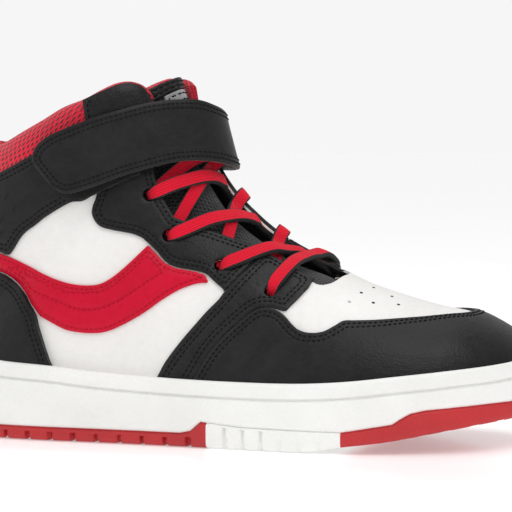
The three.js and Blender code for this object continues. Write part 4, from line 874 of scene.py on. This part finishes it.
U = np.concatenate([np.linspace(8.1, 20.0, 84), 20.0 + 0.62 * np.sin(np.linspace(0, math.pi / 2, 9)[1:])])
tap = 0.45 + 0.55 * ss(8, 12, U)
capk = np.where(U > 20.0, 1 - np.sqrt(np.clip(1 - ((U - 20.0) / 0.62) ** 2, 0, 1)), 0)
outer = 0.0 - 2.9 * capk + 0.25 * np.sin(U * 2.4) * ss(9, 11, U) * (1 - ss(17, 19, U)) - 0.25
inner = -6.0 * tap + 3.0 * capk
rr = ring_rows(U, outer, np.minimum(inner, outer - 0.05))
P = np.concatenate([r[0] for r in rr])
m = len(rr[0][0])
quads, mi = [], []
for i in range(len(rr) - 1):
    for j in range(m):
        quads.append((i * m + j, i * m + (j + 1) % m, (i + 1) * m + (j + 1) % m, (i + 1) * m + j))
        front = rr[i][2][j] > (outer[i] + inner[i]) / 2
        mi.append(0 if front and U[i] < 19.9 else 1)
base = (len(rr) - 1) * m
quads.append(tuple(base + j for j in range(m)))
quads.append(tuple(j for j in range(m))[::-1])
mi += [1, 1]
arc = np.concatenate([[0], np.cumsum(np.linalg.norm(np.diff(np.array([r[0][30] for r in rr]), axis=0), axis=1))])
uv = np.concatenate([np.stack([np.cumsum(np.concatenate([[0], np.linalg.norm(np.diff(r[0], axis=0), axis=1)])), np.full(m, a)], 1) for r, a in zip(rr, arc)])
tongue = mesh("tongue_padded", P, quads, [BLACK_MESH, RED_MESH], uv=uv)
tongue.data.polygons.foreach_set("material_index", mi)
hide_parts("tongue_mesh", "tongue_lining", "tongue_foam")
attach(tongue, "tongue")


def badge(name, node, u0, u1, f0, f1, d0, d1, mat, thread=None):
    nu, nf = 30, 70
    A = np.array([(u, f) for u in np.linspace(u0, u1, nu) for f in np.linspace(f0, f1, nf)])
    P, N = tongue_point(A[:, 0], A[:, 1], d0)
    T = []
    for i in range(nu - 1):
        for j in range(nf - 1):
            a = i * nf + j
            T += [[a, a + nf, a + nf + 1], [a, a + nf + 1, a + 1]]
    T = np.array(T)
    n0 = np.cross(P[T[:, 1]] - P[T[:, 0]], P[T[:, 2]] - P[T[:, 0]])
    flip = (n0 * N[T[:, 0]]).sum(1) < 0
    T[flip] = T[flip][:, ::-1]
    E = boundary(T)
    be = np.unique(E)
    D = near(P, P[be])
    h = (d1 - d0) - 0.25 * (1 - ss(0, 0.6, D)) - 0.14 * np.exp(-((D - 1.3) / 0.4) ** 2)
    Q = P + N * h[:, None]
    mp = {int(v): len(Q) + i for i, v in enumerate(be)}
    low = P[be] - N[be] * 0.4
    skirt = [(int(b), int(a), mp[int(a)], mp[int(b)]) for a, b in E]
    o = mesh(name, np.concatenate([Q, low]), T.tolist() + skirt, mat, uv=np.concatenate([Q, low])[:, [1, 2]], sharp=50)
    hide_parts(node)
    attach(o, "tongue")
    if thread:
        t = stitches(name + "_thread", Q, T, D, N, (1.3,), thread, pitch=2.4, length=1.6)
        if t:
            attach(t, "tongue")
    return o


badge("tongue_patch", "tongue_patch", 19.72, 20.5, -0.5, 0.5, 0.0, 1.1, BLACK, THREAD_BLACK)
badge("tongue_label", "tongue_label", 18.75, 19.66, -0.3, 0.3, 0.0, 0.9, LABEL, THREAD_BLACK)

# ---------------------------------------------------------------- elastic lace
def smooth_path(P, n):
    P = np.array(P, float)
    s = np.concatenate([[0], np.cumsum(np.linalg.norm(np.diff(P, axis=0), axis=1))])
    t = np.linspace(0, s[-1], n)
    Q = np.stack([np.interp(t, s, P[:, k]) for k in range(P.shape[1])], 1)
    for _ in range(6):
        Q[1:-1] = (Q[:-2] + 2 * Q[1:-1] + Q[2:]) / 4
    return Q


def lace_run(name, a, sa, b, sb, d):
    n = 60
    pts, nor, hw = [], [], []
    t = np.linspace(0, 1, n)
    f = sa * (1 - t) * a[1] + sb * t * b[1]
    u = a[0] + (b[0] - a[0]) * (t ** 0.72 if d[0] > 0 and d[2] < 0 and sa < 0 else t)
    th, side = np.abs(f), np.where(f < 0, -1.0, 1.0)
    e = edge_of(u, side)
    end = np.where(t < 0.5, d[0], d[2])
    k = np.where(end > 0, ss(0, 1, (th - (e - 0.14)) / 0.12), ss(0, 1, (th - (e - 0.14)) / 0.09))
    dd = d[1] + (end - d[1]) * k
    P = at(u, th, side, dd)
    N = normal(u, np.maximum(th, 0.04), side)
    H = np.full(n, 2.5)
    L = np.concatenate([[0], np.cumsum(np.linalg.norm(np.diff(P, axis=0), axis=1))])
    for at_end, x in ((0, L), (1, L[-1] - L)):
        if d[2 if at_end else 0] > 0:
            # the strand comes up out of the eyelet
            drop = 4.2 * (1 - ss(0.0, 3.0, x)) ** 1.4
            P = P - N * drop[:, None]
            H = H - 0.9 * (1 - ss(0.0, 3.4, x))
        else:
            H = H - 0.6 * (1 - ss(0.0, 3.0, x))
    C = np.concatenate([P, N, H[:, None]], 1)
    C = smooth_path(C, 90)
    P, N, H = C[:, :3], unit(C[:, 3:6]), C[:, 6]
    T = unit(np.gradient(P, axis=0))
    W = unit(np.cross(N, T))
    N = unit(np.cross(T, W))
    L = np.concatenate([[0], np.cumsum(np.linalg.norm(np.diff(P, axis=0), axis=1))])
    th_ = 1.0
    # cross-section: flat with rounded edges and shallow ribs along the top
    prof = []
    for v in np.linspace(-1, 1, 17):
        prof.append((v * 0.94, 1 + 0.05 * math.cos(v * 15.7) - 0.15 * v * v))
    prof += [(0.985, 0.6), (1.0, 0.0), (0.985, -0.6)]
    prof += [(v * 0.9, -1 + 0.15 * v * v) for v in np.linspace(1, -1, 9)]
    prof += [(-0.985, -0.6), (-1.0, 0.0), (-0.985, 0.6)]
    m = len(prof)
    V, uv = [], []
    for p, nn, w, h, l in zip(P, N, W, H, L):
        for x, y in prof:
            V.append(p + w * x * h + nn * y * th_)
            uv.append((l, x * h))
    F, mi = [], []
    for i in range(len(P) - 1):
        for j in range(m):
            F.append((i * m + j, (i + 1) * m + j, (i + 1) * m + (j + 1) % m, i * m + (j + 1) % m))
            mi.append(0 if 1 <= j < 15 else 1)
    F += [tuple(range(m)), tuple((len(P) - 1) * m + j for j in range(m))[::-1]]
    mi += [1, 1]
    o = mesh(name, V, F, [LACE_RED, LACE_BLACK], uv=uv)
    o.data.polygons.foreach_set("material_index", mi)
    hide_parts("elastic_lace")
    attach(o, "shoe")
    return o


LL, MM, TOP, IN, MID = EYELETS_L, EYELETS_M, 2.3, -2.3, 0.5
runs = [
    (LL[3], -1, MM[3], 1, (TOP, 1.5, TOP)),
    (LL[2], -1, MM[3], 1, (TOP, MID, IN)), (LL[1], -1, MM[2], 1, (TOP, MID, IN)), (LL[0], -1, MM[1], 1, (TOP, MID, IN)),
    (MM[2], 1, LL[3], -1, (TOP, -1.6, IN)), (MM[1], 1, LL[2], -1, (TOP, -1.6, IN)), (MM[0], 1, LL[1], -1, (TOP, -1.6, IN)),
    (LL[0], -1, MM[0], 1, (IN, -1.9, IN)),
]
for i, r in enumerate(runs):
    lace_run("lace_run_%d" % i, *r)

# ---------------------------------------------------------------- strap
def strap_frames(x):
    q = spline(STRAP.reshape(len(STRAP), 6), x)
    b, t = q[..., :3], q[..., 3:]
    e = 0.25
    q0, q1 = spline(STRAP.reshape(len(STRAP), 6), np.clip(x - e, 0, 15)), spline(STRAP.reshape(len(STRAP), 6), np.clip(x + e, 0, 15))
    along = unit((q1[..., :3] + q1[..., 3:]) - (q0[..., :3] + q0[..., 3:]))
    up = unit(t - b)
    return b, t, along, up, unit(np.cross(along, up))


def strap_piece(name, x0, x1, nodes, round0, nx):
    nv = 34
    xs = np.linspace(x0, x1, nx)
    V0, N0, U0 = [], [], []
    b, t, al, up, n = strap_frames(xs)
    L = np.concatenate([[0], np.cumsum(np.linalg.norm(np.diff((b + t) / 2, axis=0), axis=1))])
    vs = np.linspace(0, 1, nv)
    h = np.linalg.norm(t - b, axis=1)
    inset = np.zeros(nx)
    if round0:  # rounded corners at the free end
        r = 5.0
        inset = np.where(L < r, r - np.sqrt(np.clip(r * r - (r - L) ** 2, 0, None)), 0)
    P = np.array([[b[i] + (t[i] - b[i]) * ((inset[i] + (h[i] - 2 * inset[i]) * v) / h[i]) for v in vs] for i in range(nx)])
    N = np.repeat(n[:, None], nv, 1)
    Pf, Nf = P.reshape(-1, 3), N.reshape(-1, 3)
    i, j = np.meshgrid(np.arange(nx - 1), np.arange(nv - 1), indexing="ij")
    a = (i * nv + j).ravel()
    T = np.concatenate([np.stack([a, a + nv, a + nv + 1], 1), np.stack([a, a + nv + 1, a + 1], 1)])
    rim = np.concatenate([P[:, 0], P[:, -1]] + ([P[0]] if round0 else []) + ([P[-1]] if x1 > 14.9 else []))
    D = near(Pf, rim)
    E = boundary(T)
    prof = 2.7 - 0.35 * (1 - ss(0, 0.7, D)) + 0.15 * np.exp(-((D - 2.3) / 1.5) ** 2)
    for lv in (1.5, 3.0):
        prof = prof - 0.15 * np.exp(-((D - lv) / 0.4) ** 2)
    near_in = np.repeat(-1.5 * ss(3.0, 6.5, xs) * (1 - ss(10.0, 12.0, xs)), nv)
    outer = Pf + Nf * (prof + near_in)[:, None]
    inner = Pf + Nf * (0.9 + 0.15 * (1 - ss(0, 0.6, D)) + near_in)[:, None]
    K = len(outer)
    n0 = np.cross(outer[T[:, 1]] - outer[T[:, 0]], outer[T[:, 2]] - outer[T[:, 0]])
    flip = (n0 * Nf[T[:, 0]]).sum(1) < 0
    T[flip] = T[flip][:, ::-1]
    E = boundary(T)
    faces = T.tolist() + (T[:, ::-1] + K).tolist() + [(int(q), int(p), int(p) + K, int(q) + K) for p, q in E]
    mi = [0] * len(T) + [1] * len(T) + [2] * len(E)
    o = mesh(name, np.concatenate([outer, inner]), faces, [BLACK, LOOP if round0 else BLACK_SOFT, EDGE], uv=np.tile(np.stack([np.repeat(L, nv), np.tile(vs * 20, nx)], 1), (2, 1)), sharp=45)
    o.data.polygons.foreach_set("material_index", mi)
    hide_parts(*nodes)
    th = stitches(name + "_thread", outer, T, D, Nf, (1.5, 3.0), THREAD_BLACK, pitch=1.9 * 0.9, length=1.25, r=0.24)
    return o, th


jt = {j["name"]: j for j in frame["record"]["behaviour"]["joints"]}
al5, al12 = strap_frames(np.array([4.97]))[2][0], strap_frames(np.array([12.37]))[2][0]
pieces = [("strap_front", 0.0, 9.6, ["strap_end", "strap_band"], True, 150, "strap_tip", "strap_mid", "strap_peel", al5, 0.006),
          ("strap_side", 9.6, 15.0, ["strap_anchor"], False, 90, "strap_mid", "shoe", "strap_swing", al12, 0.005)]
for name, x0, x1, nodes, rnd, nx, ba, bb, jn, al, reach in pieces:
    o, th = strap_piece(name, x0, x1, nodes, rnd, nx)
    c, al = Vector(jt[jn]["pos_m"]), Vector(al)
    for q in (o, th):
        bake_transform(q)

# ---------------------------------------------------------------- sole
half_l = [[p[0], p[2] - p[1]] for p in PLAN]
ring = half_l + [[p[0], p[2] + p[1]] for p in PLAN[1:-1][::-1]]
ring = np.array(sm(ring, True, 10))
seg = np.linalg.norm(np.diff(np.vstack([ring, ring[:1]]), axis=0), axis=1)
cum = np.concatenate([[0], np.cumsum(seg)])
NR = 900
tt = np.linspace(0, cum[-1], NR, endpoint=False)
rc = np.vstack([ring, ring[:1]])
ring = np.stack([np.interp(tt, cum, rc[:, 0]), np.interp(tt, cum, rc[:, 1])], 1)
for xs in (-2.2, 45.6):  # points exactly at the ends of the treads
    for sgn in (-1, 1):
        cand = np.where(ring[:, 1] * sgn > 0)[0]
        q = cand[np.argmin(np.abs(ring[cand, 0] - xs))]
        ring[q, 0] = xs
tan = unit(np.roll(ring, -1, 0) - np.roll(ring, 1, 0))
nrm = np.stack([tan[:, 1], -tan[:, 0]], 1)
if (nrm * (ring - ring.mean(0))).sum() < 0:
    nrm = -nrm
rx = ring[:, 0]
stop = np.array(sm(SOLE_TOP[::-1], False, 6))
top = np.interp(rx, stop[:, 0], stop[:, 1])
slow = np.array(sm([[-112, 3], [-109, 2.5], [-100, 0.8], [-92, 0.0], [-60, 0], [0, 0], [30, 0.0], [45, 2], [60, 3.9], [76, 6.9], [90, 9.4], [101, 11.2], [112, 13.4]], False, 6))
slow[:, 1] = np.maximum(slow[:, 1], 0)
low_of = lambda x: np.interp(x, slow[:, 0], slow[:, 1])
bot = low_of(rx)
line = np.interp(rx, [-125, -12, -8, -4.4, -2.2, 10, 45.6, 62.5, 65.6, 68.4, 73, 84, 93, 104, 125], [4.5, 4.5, 5.4, 8.6, 8.4, 7.4, 7.0, 9.8, 11.9, 13.5, 14.5, 15.4, 16.1, 16.7, 17.2])
yc = np.interp(rx, np.array([p[0] for p in PLAN])[::-1], np.array([p[2] for p in PLAN])[::-1])
lat = ring[:, 1] < yc
mid = 0.6 * line + 0.4 * (top - 6)
rows = []  # (outward offset, height, zone); zone 0 white, 1 tread


def row(off, z, zone=0):
    rows.append((np.broadcast_to(np.asarray(off, float), rx.shape), np.broadcast_to(np.asarray(z, float), rx.shape), zone))


row(-6.0, top - 1.2); row(-4.4, top - 0.7); row(-2.6, top - 0.25); row(-1.5, top); row(-0.8, top - 0.15); row(-0.35, top - 0.55); row(-0.1, top - 1.2)
row(0.0, top - 2.4); row(0.0, top - 4.4); row(-0.12, top - 4.9); row(-0.8, top - 5.2); row(-1.0, top - 5.6); row(-0.8, top - 6.0); row(-0.12, top - 6.3)
for k in np.linspace(0.08, 0.92, 7):
    row(0.05 * math.sin(k * math.pi), (top - 6.3) * (1 - k) + (line + 0.9) * k)
row(-0.05, line + 0.9); row(-0.35, line + 0.5); row(-0.75, line + 0.22)
n_white = len(rows)
heel, toez = rx < -2.2 + 1e-6, rx > 45.6 - 1e-6
notch_h = np.zeros(NR)
for k in range(-1, 11):
    notch_h = np.maximum(notch_h, (1 - ss(0.4, 0.9, np.abs(rx - (-17.4 - 8.5 * k + 8.5 * 0)))) * heel)
vg = np.zeros(NR)
for xg, hgt in ((4.5, 1), (11.0, 1), (17.6, 1), (24.2, 0.45), (31.4, 0.45), (38.6, 0.45)):
    vg = np.maximum(vg, (1 - ss(0.5, 1.0, np.abs(rx - xg))) * hgt)
midz = ~heel & ~toez
row(-0.75 * (~midz), line - 0.15); row(-0.2 * (~midz), line - 0.5)
for k in np.linspace(0.05, 0.8, 7):
    z = (line - 0.5) * (1 - k) + (bot + 1.2) * k
    off = -0.05 - vg * 1.1 * ((vg > 0.9) | (k > 0.55))
    off = off - notch_h * 1.3 * (k > 0.3)
    row(off, z)
row(-0.15 - vg * 1.1 - notch_h * 1.3, bot + 1.2); row(-0.5 - vg * 1.1 - notch_h * 1.2, bot + 0.5 + notch_h * 0.5); row(-1.1 - vg - notch_h, bot + 0.12 + notch_h * 1.2)
G = []
for off, z, zone in rows:
    G.append(np.stack([ring[:, 0] + nrm[:, 0] * off, ring[:, 1] + nrm[:, 1] * off, z], 1))
last = G[-1]
spine = np.interp(last[:, 0], np.array([p[0] for p in PLAN])[::-1], np.array([p[2] for p in PLAN])[::-1])


def tread(x, y):
    """Depth of the pattern cut into the underside."""
    g = np.zeros_like(x)
    w = np.abs(((x + 17.4 + 1.2 * np.sin(y * 0.22)) / 8.5 + 0.5) % 1 - 0.5) * 8.5
    g = np.where(x < -6, (1 - ss(0.7, 1.2, w)) * 1.5, g)
    w2 = np.abs(((x - 50 + 2.4 * np.cos(y * 0.19)) / 6.0 + 0.5) % 1 - 0.5) * 6.0
    g = np.where(x > 48.5, (1 - ss(0.6, 1.1, w2)) * 1.3, g)
    w3 = np.abs(((x - 4.5) / 6.7 + 0.5) % 1 - 0.5) * 6.7
    return np.where((x > 1) & (x < 43), (1 - ss(0.6, 1.1, w3)) * 1.2, g)


for k in range(1, 30):
    a = k / 29
    y = last[:, 1] + (spine - last[:, 1]) * (1 - (1 - a) ** 1.15)
    x = last[:, 0]
    G.append(np.stack([x, y, low_of(x) + np.maximum(tread(x, y) * ss(0.0, 0.04, a), notch_h * 1.2 * (1 - ss(0, 0.1, a)))], 1))
M = len(G)
V = np.concatenate(G)
F = {0: [], 1: [], 2: []}
for r in range(M - 1):
    for i in range(NR):
        j = (i + 1) % NR
        cx = (rx[i] + rx[j]) / 2
        z = 0
        if r >= n_white - 1:
            z = 1 if cx < -2.2 else 2 if cx > 45.6 else 0
        F[z].append((r * NR + i, r * NR + j, (r + 1) * NR + j, (r + 1) * NR + i))
for z, (name, mat) in enumerate((("cupsole", RUBBER_WHITE), ("outsole_heel_tread", RUBBER_RED), ("outsole_toe_tread", RUBBER_RED))):
    f = np.array(F[z])
    used = np.unique(f)
    remap = np.full(len(V), -1)
    remap[used] = np.arange(len(used))
    f = remap[f]
    P = V[used]
    n0 = np.cross(P[f[:, 1]] - P[f[:, 0]], P[f[:, 3]] - P[f[:, 0]])
    side = np.where(np.abs(n0[:, 2]) > 0.9 * np.linalg.norm(n0, axis=1), -n0[:, 2], (n0[:, :2] * (P[f[:, 0]][:, :2] - [0, 0])).sum(1))
    if np.median(n0[: len(f) // 2, 1] * P[f[: len(f) // 2, 0], 1]) < 0:
        f = f[:, ::-1]
    o = mesh(name + "_rubber", P, f.tolist(), mat, uv=P[:, [0, 2]], sharp=45)
    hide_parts(name)
    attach(o, "shoe")

# ---------------------------------------------------------------- floor, light and camera
bpy.ops.mesh.primitive_plane_add(size=6, location=(0, 0, -0.0002))
floor = bpy.context.object
floor.name = "floor"
fm = Mat("floor_pale")
fn = fm.noise(6, 3)
floor.data.materials.append(fm.done(fm.mix(fm.range(fn, 0.3, 0.7, 0, 1), (0.94, 0.94, 0.94), (0.96, 0.96, 0.96)), fm.range(fn, 0.3, 0.7, 0.16, 0.22)))
fm.b.inputs["Emission Color"].default_value = (1, 1, 1, 1)
fm.b.inputs["Emission Strength"].default_value = 0.30
world = bpy.context.scene.world or bpy.data.worlds.new("World")
bpy.context.scene.world = world
world.use_nodes = True
wt = world.node_tree
bg = wt.nodes["Background"]
bg.inputs[0].default_value = (1, 1, 1, 1)
bg.inputs[1].default_value = 0.62
seen = wt.nodes.new("ShaderNodeBackground")
seen.inputs[0].default_value = (0.92, 0.92, 0.92, 1)
path, pick = wt.nodes.new("ShaderNodeLightPath"), wt.nodes.new("ShaderNodeMixShader")
wt.links.new(path.outputs["Is Camera Ray"], pick.inputs[0])
wt.links.new(bg.outputs[0], pick.inputs[1])
wt.links.new(seen.outputs[0], pick.inputs[2])
wt.links.new(pick.outputs[0], wt.nodes["World Output"].inputs[0])


def area(name, loc, aim, size, power):
    d = bpy.data.lights.new(name, "AREA")
    d.shape, d.size, d.energy = "SQUARE", size, power
    o = bpy.data.objects.new(name, d)
    o.location = loc
    o.rotation_mode = "QUATERNION"
    o.rotation_quaternion = (Vector(aim) - Vector(loc)).to_track_quat("-Z", "Y")
    bpy.context.collection.objects.link(o)


area("key", (0.45, -0.55, 0.95), (0, 0, 0.05), 0.8, 4.6)
area("fill", (-0.8, -0.5, 0.6), (0, 0, 0.05), 0.9, 1.8)
area("top", (0.0, 0.1, 1.1), (0, 0, 0.05), 0.9, 2.6)

a, e = math.radians(17), math.radians(7)
r = Vector((math.cos(a), math.sin(a), 0))
b = Vector((math.sin(a) * math.cos(e), -math.cos(a) * math.cos(e), math.sin(e)))
up = b.cross(r)
if up.z < 0:
    up = -up
cam = bpy.data.cameras.new("camera")
cam.sensor_width, cam.lens = 36.0, 221.2
cam.clip_start, cam.clip_end = 0.05, 20
co = bpy.data.objects.new("camera", cam)
co.location = b * 1.1 - Vector(ORIGIN) / 1000
ray = (r * (11 / 3146) + up * (179.3 / 3146) * (-1) * (-1) - b).normalized()
co.rotation_mode = "QUATERNION"
co.rotation_quaternion = ray.to_track_quat("-Z", "Y")
bpy.context.collection.objects.link(co)
bpy.context.scene.camera = co
bpy.context.scene.view_settings.view_transform = "Standard"

bpy.context.view_layer.update()
